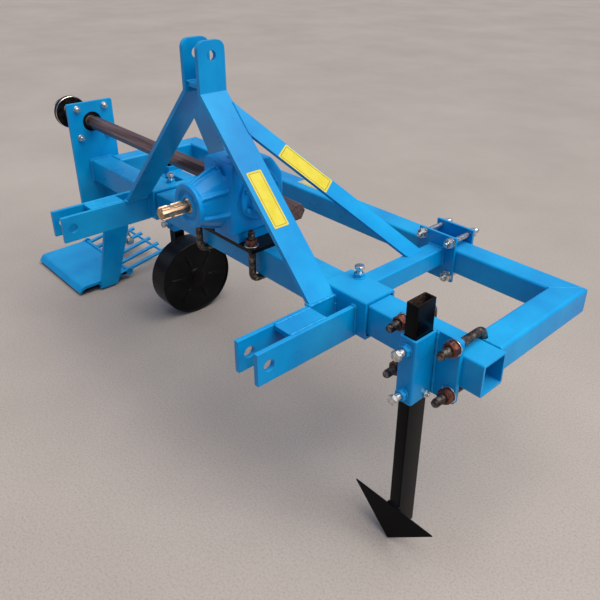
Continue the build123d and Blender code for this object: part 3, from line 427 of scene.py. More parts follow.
def bead(mesh, start, end, radius):
    """Weld bead from start to end: overlapping ripples, uneven as a hand lays them."""
    ripple = 0.0042
    start, end = Vector(start), Vector(end)
    length = (end - start).length
    ripples = max(3, int(length / ripple))
    step = length / ripples
    profile = [(radius * 0.5, -radius * 0.5)]
    for index in range(ripples):
        sway = 1 + 0.3 * noise.noise((start + (end - start) * index / ripples) * 90)
        profile += [(radius * 0.8 * sway, step * index), (radius * 1.1 * sway, step * (index + 0.45))]
    profile += [(radius * 0.8, length), (radius * 0.4, length + radius * 0.5)]
    turned(mesh, along(start, end - start), profile, 10)


def welds(name, lines, radius=0.0038, finish=azure, body="frame"):
    """Piece that holds the weld beads of one joint; each line is a run of points."""
    mesh = bmesh.new()
    for line in lines:
        for start, end in zip(line, line[1:]):
            bead(mesh, start, end, radius)
    made(name, mesh, finish, body, crease=60)


def loop(axis, at, low, high):
    """Closed run of points round a rectangle square to an axis."""
    (a0, b0), (a1, b1) = low, high
    points = []
    for corner in ((a0, b0), (a1, b0), (a1, b1), (a0, b1), (a0, b0)):
        point = list(corner)
        point.insert(axis, at)
        points.append(tuple(point))
    return points


def mast_axes(outward):
    """Down one mast flat's slope, out of its face, and the point where it bends."""
    down = Vector((outward * MAST_RUN, 0, -MAST_FALL))
    out = Vector((outward * MAST_FALL, 0, MAST_RUN))
    return down, out, Vector((MIDDLE + outward * BEND_OFFSET, BEND_Y, BEND_Z))


# Front beam and the sleeves on the beams: crisp cold-formed tube

mesh = bmesh.new()
beam_start = axes_at((LEFT_END, BEAM_Y, BEAM_Z), TO_REAR, TO_SKY)
tube(mesh, beam_start, 0.08, 0.08, 0.006, 0.0055, RIGHT_END - LEFT_END)
made("front_beam_tube", mesh, azure_beam, replaces="front_beam")
sleeve_size, sleeve_length = 0.1, 0.14
sleeves = (
    # name, node it stands for, middle X, middle Y, middle Z
    ("front_sleeve_right", "hitch_sleeve_right", MIDDLE + SLEEVE_OFFSET, BEAM_Y, BEAM_Z),
    ("front_sleeve_left", "hitch_sleeve_left", MIDDLE - SLEEVE_OFFSET, BEAM_Y, BEAM_Z),
    ("rear_beam_sleeve", "rear_sleeve", MIDDLE - TUBE_OFFSET, REAR_Y, REAR_Z),
)
for name, stands_for, x, y, z in sleeves:
    mesh = bmesh.new()
    start = axes_at((x - sleeve_length / 2, y, z), TO_REAR, TO_SKY)
    tube(mesh, start, sleeve_size, sleeve_size, 0.007, 0.006, sleeve_length)
    made(name, mesh, azure, replaces=stands_for)

# Mast spacer, its front corners rounded
mesh = bmesh.new()
slab(mesh, axes_at((MIDDLE, -0.149, SPACER_LOW), TO_RIGHT, TO_REAR), outline(0.052, 0.066, 0.006), 0.012)
made("mast_spacer_plate", mesh, azure, replaces="mast_spacer")

# Weld beads of the frame, painted over with it; the right end tube's top bead leaves a gap
beam_foot = loop(0, LEFT_END + 0.001, (FRONT_FACE, BEAM_LOW), (BEAM_REAR, BEAM_TOP))
welds("beam_to_side_plate_weld", [beam_foot], 0.0058)
gap_start, gap_end = 0.9675, 0.9945
inner_run = ((RIGHT_TUBE_INNER, REAR_LOW), (RIGHT_TUBE_INNER, BEAM_TOP), (gap_start, BEAM_TOP))
outer_run = ((gap_end, BEAM_TOP), (RIGHT_TUBE_OUTER, BEAM_TOP), (RIGHT_TUBE_OUTER, REAR_LOW))
lines = [loop(1, BEAM_REAR, (LEFT_END, REAR_LOW), (LEFT_TUBE_INNER, BEAM_TOP))]
lines += [[(x, BEAM_REAR, z) for x, z in run] for run in (inner_run, outer_run)]
welds("end_tube_welds", lines, 0.0036)
lines = []
for x_in, x_out in ((0.9655, 1.0265), (-0.5765, -0.6375)):
    for z in (BEAM_TOP - 0.001, REAR_LOW + 0.001):
        lines.append([(x_in, REAR_FRONT + 0.002, z), (x_out, FRAME_REAR - 0.007, z)])
for x in (RIGHT_TUBE_INNER, LEFT_TUBE_INNER):
    lines.append([(x, REAR_FRONT, REAR_LOW + 0.008), (x, REAR_FRONT, BEAM_TOP - 0.008)])
welds("corner_mitre_welds", lines, 0.0026)

back = Vector(TO_REAR)
sleeve_front = -0.1105
for side, outward in (("right", 1), ("left", -1)):
    lines = []
    sleeve_x, tube_x = MIDDLE + outward * SLEEVE_OFFSET, MIDDLE + outward * TUBE_OFFSET
    for cheek in (-1, 1):
        inner, outer = sleeve_x + cheek * CHEEK_INNER, sleeve_x + cheek * CHEEK_OUTER
        for x in (inner, outer):
            lines.append([(x, sleeve_front, 0.447), (x, sleeve_front, 0.524)])
        lines.append([(inner, sleeve_front, ARM_TOP), (outer, sleeve_front, ARM_TOP)])
        lines.append([(inner, -0.298, 0.5235), (inner, -0.194, 0.5235)])
    welds(f"arm_welds_{side}", lines, 0.0038)
    foot_out, foot_in = MIDDLE + outward * 0.434, MIDDLE + outward * 0.4174
    lines = [[(x, -0.188, ARM_TOP), (x, -0.112, ARM_TOP)] for x in (foot_out, foot_in)]
    lines.append([(x, -0.1885, ARM_TOP) for x in (foot_in, foot_out)])
    welds(f"mast_foot_weld_{side}", lines, 0.0042)
    low, high = (tube_x - HITCH_TUBE_HALF, HITCH_TUBE_LOW), (tube_x + HITCH_TUBE_HALF, HITCH_TUBE_TOP)
    rear = 0.276 if outward > 0 else 0.269
    welds(f"hitch_tube_welds_{side}", [loop(1, y, low, high) for y in (-0.01, rear)], 0.0036)
    down, out, bend = mast_axes(outward)
    top_a, top_b = bend + down * 0.036, bend + down * 0.128
    heel_a, heel_b = bend + down * 0.566 + back * 0.275, bend + down * 0.566 + back * 0.334
    thick = Vector((outward * 0.011, 0, 0))
    welds(f"brace_welds_{side}", [
        [top_a, top_b], [top_a - out * 0.008, top_b - out * 0.008],
        [heel_a, heel_b], [heel_a - thick, heel_b - thick],
    ], 0.0034)
lines = [[(x, -0.181, z), (x, -0.117, z)]
         for x in (MIDDLE - 0.026, MIDDLE + 0.026) for z in (SPACER_LOW, SPACER_TOP)]
welds("mast_spacer_welds", lines, 0.003)
low, high = (0.046, HITCH_TUBE_LOW), (0.096, HITCH_TUBE_TOP)
welds("wheel_bracket_welds", [loop(0, x, low, high) for x in (-0.26, STEM_X + 0.0265)], 0.0034)

# Guide tube that carries the wheel stem's socket lower, with a set bolt of its own
mesh = bmesh.new()
guide_size, guide_half = 0.053, 0.0262
tube(mesh, axes_at((STEM_X, WHEEL_Y, 0.302), TO_RIGHT, TO_REAR), guide_size, guide_size, 0.006, 0.006, 0.158)
made("stem_guide_tube", mesh, azure)
low, high = (STEM_X - guide_half, WHEEL_Y - guide_half), (STEM_X + guide_half, WHEEL_Y + guide_half)
welds("stem_guide_weld", [loop(2, 0.46, low, high)], 0.003)

# Blade: plate whose front is bent down to its edge, with two hinge ears behind
mesh = bmesh.new()
spine = (
    # Y, Z and half the thickness, from the rear edge to the front
    (-0.017, 0.0347, 0.006), (-0.2005, 0.0302, 0.006), (-0.2035, 0.0286, 0.006), (-0.22, 0.011, 0.0034),
)
upper, lower = [], []
for index, (y, z, half) in enumerate(spine):
    before, after = spine[max(index - 1, 0)], spine[min(index + 1, len(spine) - 1)]
    run = Vector((before[0] - after[0], before[1] - after[1])).normalized()
    upper.append((y - run.y * half, z + run.x * half))
    lower.append((y + run.y * half, z - run.x * half))
section = upper + lower[::-1]
mid_y, mid_z = -0.12, 0.03
stations = ((BLADE_FAR, 0.985), (BLADE_FAR + 0.0012, 1), (PLATE_OUTER - 0.0012, 1), (PLATE_OUTER, 0.985))
rings = []
for x, pull in stations:
    rings.append([Vector((x, mid_y + (y - mid_y) * pull, mid_z + (z - mid_z) * pull)) for y, z in section])
skin(mesh, rings)
ear_thick, ear_bore, ear_sides = 0.008, 0.0083, 36
for near in (BLADE_FAR, PLATE_OUTER - ear_thick):
    rings = []
    for x, inner in ((near, False), (near + ear_thick, False), (near + ear_thick, True), (near, True)):
        ring = []
        for index in range(ear_sides):
            angle = turn_of(index, ear_sides)
            ahead = max(-cos(angle), 0)
            reach_y = ear_bore * cos(angle) if inner else (0.016 + 0.022 * ahead) * cos(angle)
            reach_z = ear_bore * sin(angle) if inner else (0.016 - 0.009 * ahead) * sin(angle)
            ring.append(Vector((x, HINGE_Y + reach_y, HINGE_Z + reach_z)))
        rings.append(ring)
    skin(mesh, rings, True)
made("lipped_blade", mesh, azure, replaces="blade", crease=18)
lines = [[(PLATE_OUTER, -0.139, front), (PLATE_OUTER, -0.066, rear)]
         for front, rear in ((0.0362, 0.039), (0.0245, 0.027))]
welds("blade_to_leg_weld", lines, 0.0046)

# Weld beads at both ends of the grate's bars; at the tie rod the outermost sides have none
bars = [PLATE_OUTER - 0.0195 - index * 0.069 for index in range(6)]
slope = Vector((0, cos(GRATE_RAKE), sin(GRATE_RAKE)))
pivot = Vector((0, HINGE_Y, HINGE_Z))
every_side = [(x, s) for x in bars for s in (-1, 1)]
lines = []
for reach, sides, ends in (
    # way down the bar, sides that are welded, the bead's ends: off the bar's middle and above it
    (0.007, every_side, ((0.0076, 0.001), (0.004, 0.006))),
    (0.168, [each for each in every_side if each not in ((bars[0], 1), (bars[-1], -1))],
     ((0.007, -0.002), (0.003, 0.0045))),
):
    for x, s in sides:
        lines.append([Vector((x + s * off, 0, rise)) + pivot + slope * reach for off, rise in ends])
welds("grate_welds", lines, 0.0028, body="shaking_grate")


# Gearbox: the node's own shape with the rounded corners and flared neck of its sand casting

def cast_from(name, grain, passes):
    """Mesh of a node remade as one skin with its corners smoothed over."""
    rough = bpy.data.objects.new("rough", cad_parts[name].data.copy())
    bpy.context.scene.collection.objects.link(rough)
    remesh = rough.modifiers.new("skin", "REMESH")
    remesh.mode, remesh.voxel_size = "VOXEL", grain
    smooth = rough.modifiers.new("round", "SMOOTH")
    smooth.factor, smooth.iterations = 0.5, passes
    data = bpy.data.meshes.new_from_object(rough.evaluated_get(bpy.context.evaluated_depsgraph_get()))
    bpy.data.objects.remove(rough)
    mesh = bmesh.new()
    mesh.from_mesh(data)
    return mesh


neck_start, mouth_y, mouth_radius = -0.163, -0.249, 0.043
mesh = cast_from("gearbox_housing", 0.0024, 5)
for vert in mesh.verts:
    off = Vector((vert.co.x - GEARBOX_X, 0, vert.co.z - SHAFT_Z))
    if vert.co.y > neck_start:
        vert.co.x += min(0, off.x + 0.03) * 0.22
        vert.co.z += 0.013 * min(1, max(0, off.z - 0.04) / 0.03)
    if vert.co.y < neck_start and off.length > 0.026:
        ahead = min(1, (neck_start - vert.co.y) / 0.079)
        widen = 1 + 0.17 * ahead ** 0.6
        vert.co.x, vert.co.z = GEARBOX_X + off.x * widen, SHAFT_Z + off.z * widen
        reach = off.length * widen
        if vert.co.y < mouth_y and reach < mouth_radius:
            vert.co.y += 0.007 * min(1, (mouth_radius - reach) / 0.004)
made("gearbox_casting", mesh, azure_cast, replaces="gearbox_housing", crease=80)

mesh = bmesh.new()
bolt_circle, washer_thick = 0.0535, 0.0016
for sign, face in ((1, 0.071), (-1, 0.08)):
    for index in range(6):
        angle = (index + 0.5) * pi / 3
        y, z = SHAFT_Y + bolt_circle * cos(angle), SHAFT_Z + bolt_circle * sin(angle)
        x = GEARBOX_X + sign * face
        washer(mesh, along((x, y, z), (sign, 0, 0)), 0.004, 0.0085, washer_thick)
        hexagon(mesh, along((x + sign * washer_thick, y, z), (sign, 0, 0)), 0.013, 0.0065)
plug_y = SHAFT_Y - 0.03
hexagon(mesh, along((GEARBOX_X, plug_y, BODY_TOP + 0.02), TO_SKY), 0.024, 0.01)
dome = [(0.008, 0), (0.008, 0.003), (0.0065, 0.0042)]
turned(mesh, along((GEARBOX_X, plug_y, BODY_TOP + 0.03), TO_SKY), dome, 20)
hexagon(mesh, along((0.202, -0.078, BODY_TOP + 0.012), TO_SKY), 0.017, 0.009)
hexagon(mesh, along((GEARBOX_X, 0.0165, 0.598), TO_REAR), 0.019, 0.008)
made("gearbox_plugs_and_cap_bolts", mesh, azure_cast)

mesh = bmesh.new()
lip = [(0.0206, 0), (0.027, 0), (0.027, 0.0014), (0.025, 0.002), (0.0225, 0.0008), (0.0206, 0.0024)]
turned(mesh, along((GEARBOX_X, -0.2475, SHAFT_Z), TO_FRONT), lip, 40, True)
lip = [(0.0236, 0), (0.037, 0), (0.037, 0.002), (0.033, 0.0024), (0.03, 0.001), (0.0236, 0.0026)]
for sign, face in ((1, 0.0915), (-1, 0.105)):
    turned(mesh, along((GEARBOX_X + sign * face, SHAFT_Y, SHAFT_Z), (sign, 0, 0)), lip, 40, True)
made("shaft_seals", mesh, nitrile)

# Splined stub: six straight splines with the ring groove that the yoke's lock drops into
mesh = bmesh.new()
place = along((GEARBOX_X, -0.333, SHAFT_Z), TO_REAR)


def spline_ring(outer, root, height):
    """Ring of points round the six splines, at one height along the stub."""
    half = 0.0044
    ring = []
    for index in range(6):
        middle = index * pi / 3
        flank, top = asin(half / root), asin(half / outer)
        turns = ((root, -flank), (outer, -top), (outer, 0), (outer, top), (root, flank), (root, pi / 6))
        for reach, turn in turns:
            angle = middle + turn
            ring.append(place @ Vector((reach * cos(angle), reach * sin(angle), height)))
    return ring


crest, groove = 0.0175, 0.0146
steps = (
    # radius over the splines, radius at their roots, height
    (0.015, 0.0138, 0), (crest, groove, 0.0026), (crest, groove, 0.0235), (0.0152, groove, 0.025),
    (0.0149, groove, 0.033), (crest, groove, 0.0345), (crest, groove, 0.061), (0.015, groove, 0.065),
)
skin(mesh, [spline_ring(*step) for step in steps])
shoulder = [(0.0149, 0.064), (0.0149, 0.078), (0.0185, 0.0795), (0.0199, 0.081), (0.0199, 0.211)]
turned(mesh, place, shoulder, 40)
centre_drill = [(0.0125, -0.0012), (0.012, 0.0001), (0.0034, 0.0001), (0.002, -0.003)]
turned(mesh, along((GEARBOX_X, -0.3328, SHAFT_Z), TO_FRONT), centre_drill, 28)
made("splined_stub", mesh, tempered, "input_shaft", "input_shaft")

# U-bolts: bent rods, plate washers, nuts and threaded tips
rod_radius, rod_bend, thread_radius = 0.01, 0.019, 0.0098
washer_bore, washer_rim, nut_bore = 0.0104, 0.0195, 0.0102
rods, nuts, plates = bmesh.new(), bmesh.new(), bmesh.new()
front, rear, tip, under = -0.119, -0.001, 0.569, 0.445
for x in (0.076, 0.328):
    run = [(x, front, tip), (x, front, under), (x, rear, under), (x, rear, tip)]
    bent_rod(rods, run, rod_radius, rod_bend, TO_RIGHT)
    for y in (front, rear):
        threaded(rods, along((x, y, 0.567), TO_SKY), thread_radius, 0.0235)
        washer(plates, along((x, y, BASE_TOP + 0.0002), TO_SKY), washer_bore, washer_rim, 0.0032)
        hexagon(nuts, along((x, y, BASE_TOP + 0.0034), TO_SKY), 0.03, 0.017, nut_bore)
made("gearbox_u_bolt_rods", rods, oxide_rod, replaces="gearbox_u_bolts")
made("gearbox_u_bolt_nuts", nuts, phosphate)
made("gearbox_u_bolt_washers", plates, zinc)
rods, nuts, plates = bmesh.new(), bmesh.new(), bmesh.new()
tip, behind, low, high = -0.134, -0.01, 0.436, 0.554
for x in (SHARE_X - 0.0665, SHARE_X + 0.0665):
    run = [(x, tip, high), (x, behind, high), (x, behind, low), (x, tip, low)]
    bent_rod(rods, run, rod_radius, rod_bend, TO_RIGHT)
    for z in (low, high):
        threaded(rods, along((x, -0.132, z), TO_FRONT), thread_radius, 0.031)
        washer(plates, along((x, SHARE_FACE - 0.0002, z), TO_FRONT), washer_bore, washer_rim, 0.003)
        hexagon(nuts, along((x, SHARE_FACE - 0.0032, z), TO_FRONT), 0.031, 0.0175, nut_bore)
made("share_u_bolt_rods", rods, oxide_rod, replaces="share_bolts")
made("share_u_bolt_nuts", nuts, phosphate)
made("share_u_bolt_washers", plates, zinc)

# Share clamp: drilled plate with a tube sleeve welded to it, seen edge-on all round
mesh = bmesh.new()
plate = axes_at((SHARE_X, FRONT_FACE, (SHARE_TOP + SHARE_LOW) / 2), TO_RIGHT, TO_SKY)
slab(mesh, plate, outline(0.164, 0.16, 0.009), 0.012, 0.0012)
sleeve = axes_at((SHARE_X, SHANK_Y, SHARE_LOW), TO_RIGHT, TO_REAR)
tube(mesh, sleeve, 0.044, 0.07, 0.0055, 0.006, 0.16)
made("share_clamp_plate_and_sleeve", mesh, azure, replaces="share_clamp")
seam_y, shank_half, weld_y = SHARE_FACE - 0.0005, 0.0155, -0.1765
lines = [[(x, seam_y, SHARE_LOW + 0.004), (x, seam_y, SHARE_TOP - 0.003)]
         for x in (SHARE_X - 0.0235, SHARE_X + 0.0235)]
welds("share_clamp_welds", lines, 0.0042)
welds("share_to_shank_weld", [[
    (SHARE_X - shank_half, SHANK_FRONT, 0.04), (SHARE_X - shank_half, weld_y, 0.105),
    (SHARE_X + shank_half, weld_y, 0.105), (SHARE_X + shank_half, SHANK_FRONT, 0.04),
]], 0.004, black_worn)

# Share: triangular plate, point down, leaning forward from the shank, its cutting edges ground thin
mesh = bmesh.new()
lean = radians(3)
face = axes_at((SHARE_X - 0.001, -0.1885, 0.0005), TO_RIGHT, (0, sin(lean), cos(lean)))
corner_cut = 0.003
levels = (
    # inset from the outline, depth behind the front face
    (0.001, 0.0), (0.0, 0.0012), (0.0, 0.0024), (0.006, 0.008), (0.007, 0.0084),
)
rings = []
for inset, depth in levels:
    reach = 0.119 - 2.6 * inset
    shape = [(-0.002, 1.9 * inset), (reach, 0.1055 - inset), (-reach, 0.1035 - inset)]
    points = []
    for index, corner in enumerate(shape):
        corner = Vector(corner)
        for other in (shape[index - 1], shape[(index + 1) % 3]):
            points.append(corner + (Vector(other) - corner).normalized() * corner_cut)
    rings.append([face @ Vector((x, y, -depth)) for x, y in points])
skin(mesh, rings)
made("share_plate", mesh, black_worn, replaces="share")
mesh = bmesh.new()
shank = axes_at((SHARE_X, SHANK_Y, 0.03), TO_RIGHT, TO_REAR)
tube(mesh, shank, 0.03, 0.06, 0.004, 0.0035, 0.621)
made("share_shank_tube", mesh, black_worn, replaces="share_shank")

# Clamp bolts on the rear beam: zinc studs with a nut and washer at each end
mesh = bmesh.new()
for x in (0.592, 0.682):
    for z in (0.4555, 0.5555):
        turned(mesh, along((x, 0.262, z), TO_REAR), [(0.0078, 0), (0.0078, 0.114)], 20)
        for face, sign, tail in ((0.276, -1, 0.0255), (0.362, 1, 0.0375)):
            way = (0, sign, 0)
            washer(mesh, along((x, face + sign * 0.0002, z), way), 0.0084, 0.015, 0.0026)
            hexagon(mesh, along((x, face + sign * 0.0028, z), way), 0.024, 0.0125, 0.0082)
            threaded(mesh, along((x, face + sign * 0.004, z), way), 0.0079, tail - 0.0045)
made("rear_clamp_studs", mesh, zinc, replaces="rear_clamp_bolts")

# Set bolts: a nut welded over each hole, painted, and a zinc bolt screwed through it
nut_height, rim_radius = 0.0125, 0.0132
angles = [index * pi / 8 for index in range(17)]
set_bolts = (
    # name, node it stands for, way out, thread that shows, seats
    ("front_sleeve_set_bolts", "hitch_set_bolts", TO_SKY, 0.01,
     ((0.637, -0.029, 0.545), (-0.226, -0.022, 0.545))),
    ("rear_beam_set_bolt", "rear_sleeve_set_bolts", TO_SKY, 0.01, ((-0.235, REAR_Y, 0.55),)),
    ("shank_set_bolts", "share_set_bolts", TO_FRONT, 0.014,
     ((SHARE_X, SLEEVE_FACE, 0.546), (SHARE_X, SLEEVE_FACE, 0.435))),
    ("wheel_stem_set_bolt", "wheel_set_bolt", TO_FRONT, 0.008, ((STEM_X, 0.0445, 0.505),)),
    ("stem_guide_set_bolt", None, TO_FRONT, 0.008, ((STEM_X, 0.0445, 0.33),)),
)
painted = bmesh.new()
for name, stands_for, way, shown, seats in set_bolts:
    mesh, way = bmesh.new(), Vector(way)
    for place in seats:
        place = Vector(place)
        seat = along(place, way)
        hexagon(painted, seat, 0.024, nut_height, 0.0078)
        rim = [seat @ Vector((rim_radius * cos(a), rim_radius * sin(a), 0.0004)) for a in angles]
        for start, end in zip(rim, rim[1:]):
            bead(painted, start, end, 0.0026)
        threaded(mesh, along(place + way * 0.004, way), 0.0075, nut_height + shown - 0.002, 0.0026)
        head = along(place + way * (nut_height + shown), way)
        turned(mesh, head, [(0.0076, -0.004), (0.0103, -0.0006), (0.0103, 0.0004)], 28)
        hexagon(mesh, head, 0.022, 0.0095)
    made(name, mesh, zinc, replaces=stands_for)
made("welded_nuts", painted, azure, crease=40)
mesh = bmesh.new()
screw = along((SHARE_X + 0.022, -0.134, 0.424), TO_RIGHT)
hexagon(mesh, screw, 0.016, 0.006, 0.005)
threaded(mesh, screw, 0.0048, 0.012, 0.002)
made("shank_side_screw", mesh, zinc)

# Shaft bearing: its four bolts, casting, seals and grease nipple
mesh = bmesh.new()
washer_thick, bolt_tip = 0.0024, [(0.0062, -0.002), (0.0062, 0.0022), (0.0052, 0.003)]
for off_y in (-0.051, 0.051):
    for off_z in (-0.051, 0.051):
        spot = Vector((LEFT_END, SHAFT_Y + off_y, SHAFT_Z + off_z))
        washer(mesh, along(spot, TO_RIGHT), 0.0072, 0.012, washer_thick)
        hexagon(mesh, along(spot + Vector((washer_thick, 0, 0)), TO_RIGHT), 0.0185, 0.0088)
        turned(mesh, along(spot + Vector((0.0112, 0, 0)), TO_RIGHT), bolt_tip, 20)
        outer = Vector((PLATE_OUTER - 0.015, spot.y, spot.z))
        washer(mesh, along(outer, TO_LEFT), 0.0072, 0.0135, washer_thick)
        hexagon(mesh, along(outer - Vector((washer_thick, 0, 0)), TO_LEFT), 0.021, 0.011, 0.0068)
        threaded(mesh, along(outer, TO_LEFT), 0.0067, 0.019, 0.0024)
made("bearing_bolts", mesh, zinc)
mesh = cast_from("shaft_bearing", 0.002, 4)
made("bearing_casting", mesh, azure_cast, replaces="shaft_bearing", crease=80)
mesh = bmesh.new()
lip = [(0.0206, 0), (0.0345, 0), (0.0345, 0.003), (0.0318, 0.003), (0.03, 0.0016), (0.0206, 0.0022)]
turned(mesh, along((PLATE_OUTER - 0.001, SHAFT_Y, SHAFT_Z), TO_RIGHT), lip, 40, True)
lip = [(0.0206, 0), (0.0335, 0), (0.0335, 0.0026), (0.031, 0.003), (0.029, 0.0014), (0.0206, 0.002)]
turned(mesh, along((PLATE_OUTER - 0.0395, SHAFT_Y, SHAFT_Z), TO_LEFT), lip, 40, True)
made("bearing_insert_seals", mesh, nitrile)
mesh = bmesh.new()
nipple = along((PLATE_OUTER - 0.028, SHAFT_Y, SHAFT_Z + 0.0395), TO_SKY)
hexagon(mesh, nipple, 0.009, 0.004)
neck = [(0.0028, 0.003), (0.0028, 0.007), (0.002, 0.0085), (0.0032, 0.0105), (0.0024, 0.013)]
turned(mesh, nipple, neck, 20)
made("grease_nipple", mesh, zinc)

# Crank: black disc with a bright turned rim, hub and lock collar on the shaft, pin with a castle nut outside
mesh = bmesh.new()
disc = along((CRANK_FAR, SHAFT_Y, SHAFT_Z), TO_RIGHT)
turned(mesh, disc, [
    (0.0203, 0), (0.056, 0), (0.0588, 0.0022), (0.0588, 0.0172), (0.056, 0.02), (0.05, 0.02),
    (0.049, 0.0182), (0.0335, 0.0182), (0.0325, 0.02), (0.0203, 0.02),
], 72, True)
made("crank_plate", mesh, black_oxide, "output_shaft", "crank_disc")
mesh = bmesh.new()
rim = [(0.0568, 0.0193), (0.0572, 0.0201), (0.059, 0.0184), (0.059, 0.0176), (0.0582, 0.0176)]
turned(mesh, disc, rim, 72, True)
hub = [(0.0202, 0.019), (0.027, 0.019), (0.028, 0.0205), (0.028, 0.044), (0.0265, 0.0455), (0.0202, 0.0455)]
turned(mesh, disc, hub, 48, True)
collar = [(0.0203, 0), (0.0275, 0), (0.0285, 0.001), (0.0285, 0.0125), (0.0275, 0.0135), (0.0203, 0.0135)]
turned(mesh, along((PLATE_OUTER - 0.0425, SHAFT_Y, SHAFT_Z), TO_LEFT), collar, 48, True)


def off_crank(away):
    """Frame on the crank pin's line, this far outside the disc."""
    return along((CRANK_FAR - away, PIN_Y, PIN_Z), TO_LEFT)


pin_bore = 0.0121
turned(mesh, off_crank(0), [(0.0119, -0.0182), (0.0119, 0.058), (0.0112, 0.059)], 32)
pin_head = along((CRANK_NEAR, PIN_Y, PIN_Z), TO_RIGHT)
turned(mesh, pin_head, [(0.015, -0.004), (0.015, 0.0006), (0.0135, 0.0016)], 32)
washer(mesh, off_crank(0.0003), pin_bore, 0.019, 0.0042)
washer(mesh, off_crank(0.0296), pin_bore, 0.021, 0.003)
hexagon(mesh, off_crank(0.0328), 0.036, 0.015, pin_bore)
for index in range(6):
    angle = index * pi / 3
    spot = Vector((CRANK_FAR - 0.0478, PIN_Y, PIN_Z)) + Vector((0, cos(angle), sin(angle))) * 0.0142
    turned(mesh, along(spot, TO_LEFT), [(0.0036, -0.002), (0.0036, 0.0052), (0.0028, 0.006)], 12)
threaded(mesh, off_crank(0.044), 0.0118, 0.029)
split_x = CRANK_FAR - 0.0508
split_pin = [(split_x, PIN_Y - 0.0225, PIN_Z + 0.004), (split_x, PIN_Y + 0.021, PIN_Z + 0.001),
             (split_x, PIN_Y + 0.021, PIN_Z - 0.011)]
bent_rod(mesh, split_pin, 0.0013, 0.003, TO_RIGHT, 10)
made("crank_hub_and_pin", mesh, turned_steel, "output_shaft")
mesh = bmesh.new()
along_grate, off_grate = 0.112, 0.02
foot_y = HINGE_Y + along_grate * cos(GRATE_RAKE) - off_grate * sin(GRATE_RAKE)
foot_z = HINGE_Z + along_grate * sin(GRATE_RAKE) + off_grate * cos(GRATE_RAKE)
washer(mesh, along((-0.8364, foot_y, foot_z), TO_RIGHT), 0.008, 0.015, 0.0026)
hexagon(mesh, along((-0.8338, foot_y, foot_z), TO_RIGHT), 0.024, 0.01)
pin_tip = [(0.0078, -0.002), (0.0078, 0.0038), (0.007, 0.0042)]
turned(mesh, along((-0.8604, foot_y, foot_z), TO_LEFT), pin_tip, 24)
made("rod_foot_pin", mesh, zinc, "connecting_rod")

# Gauge wheel: drum, dished web with six pressed ribs, hub boss; a washer on the axle
mesh = bmesh.new()
wheel = along((WHEEL_FAR, WHEEL_Y, WHEEL_Z), TO_RIGHT)
turned(mesh, wheel, [
    (0.1385, 0.0), (0.141, 0.0022), (0.141, 0.0838), (0.1392, 0.086), (0.1362, 0.086),
    (0.1352, 0.0842), (0.1347, 0.0805), (0.131, 0.0795), (0.04, 0.0795), (0.036, 0.08),
    (0.033, 0.0832), (0.03, 0.0845), (0.015, 0.0845), (0.0138, 0.0835), (0.013, 0.082),
    (0.013, 0.0), (0.0265, 0.0), (0.028, 0.0015), (0.028, 0.07), (0.031, 0.0715),
    (0.134, 0.0715), (0.135, 0.07), (0.135, 0.002), (0.1362, 0.0),
], 96, True)
rib_steps, rib_sides, rib_length = 12, 16, 0.06
swell = [max(sqrt(max(1 - (2 * s / rib_steps - 1) ** 4, 0)), 0.05) for s in range(rib_steps + 1)]
profile = [(r, rib_length * s / rib_steps) for s, r in enumerate(swell)]
angles = [turn_of(index, rib_sides) for index in range(rib_sides)]
for index in range(6):
    angle = radians(172) + index * pi / 3
    way = Vector((0, cos(angle), sin(angle)))
    foot = Vector((-0.2677, WHEEL_Y, WHEEL_Z)) + way * 0.05
    rib = axes_at(foot, way.cross(Vector(TO_LEFT)), TO_RIGHT)
    rings = []
    for r, h in profile:
        rings.append([rib @ Vector((0.0062 * r * cos(a), 0.0052 * r * sin(a), h)) for a in angles])
    skin(mesh, rings)
made("depth_wheel", mesh, black, "gauge_wheel", "gauge_wheel")
mesh = bmesh.new()
washer(mesh, along((-0.2618, WHEEL_Y, WHEEL_Z), TO_RIGHT), 0.0126, 0.0215, 0.0022)
made("axle_washer", mesh, black)


# Blank stickers: vinyl with a printed border line

def sticker(name, centre, run, rise, long, wide, finish):
    """Blank sticker and its border line, on the plane of run and rise."""
    place = axes_at(centre, run, rise)
    mesh = bmesh.new()
    slab(mesh, place @ Matrix.Translation((0, 0, 0.0002)), outline(long, wide, 0.003), 0.0004, 0.0001)
    made(name, mesh, finish)
    outer, inner = outline(long - 0.009, wide - 0.009, 0.002), outline(long - 0.0115, wide - 0.0115, 0.0012)
    mesh = bmesh.new()
    levels = ((outer, 0.0003), (outer, 0.0007), (inner, 0.0007), (inner, 0.0003))
    skin(mesh, [[place @ Vector((x, y, z)) for x, y in ring] for ring, z in levels], True)
    made(name + "_border", mesh, border_ink)


down, _, bend = mast_axes(1)
lean = radians(32.1)
brace_run, brace_rise = down * cos(lean) + back * sin(lean), back * cos(lean) - down * sin(lean)
sticker("brace_sticker", bend + down * 0.253 + back * 0.107, brace_run, brace_rise, 0.152, 0.047, yellow)
sticker("mast_sticker", bend + down * 0.298 - back * 0.044, down, back, 0.152, 0.044, yellow)
sticker("rear_beam_sticker", (0.0825, 0.332, BEAM_TOP), TO_RIGHT, TO_REAR, 0.115, 0.04, pale)

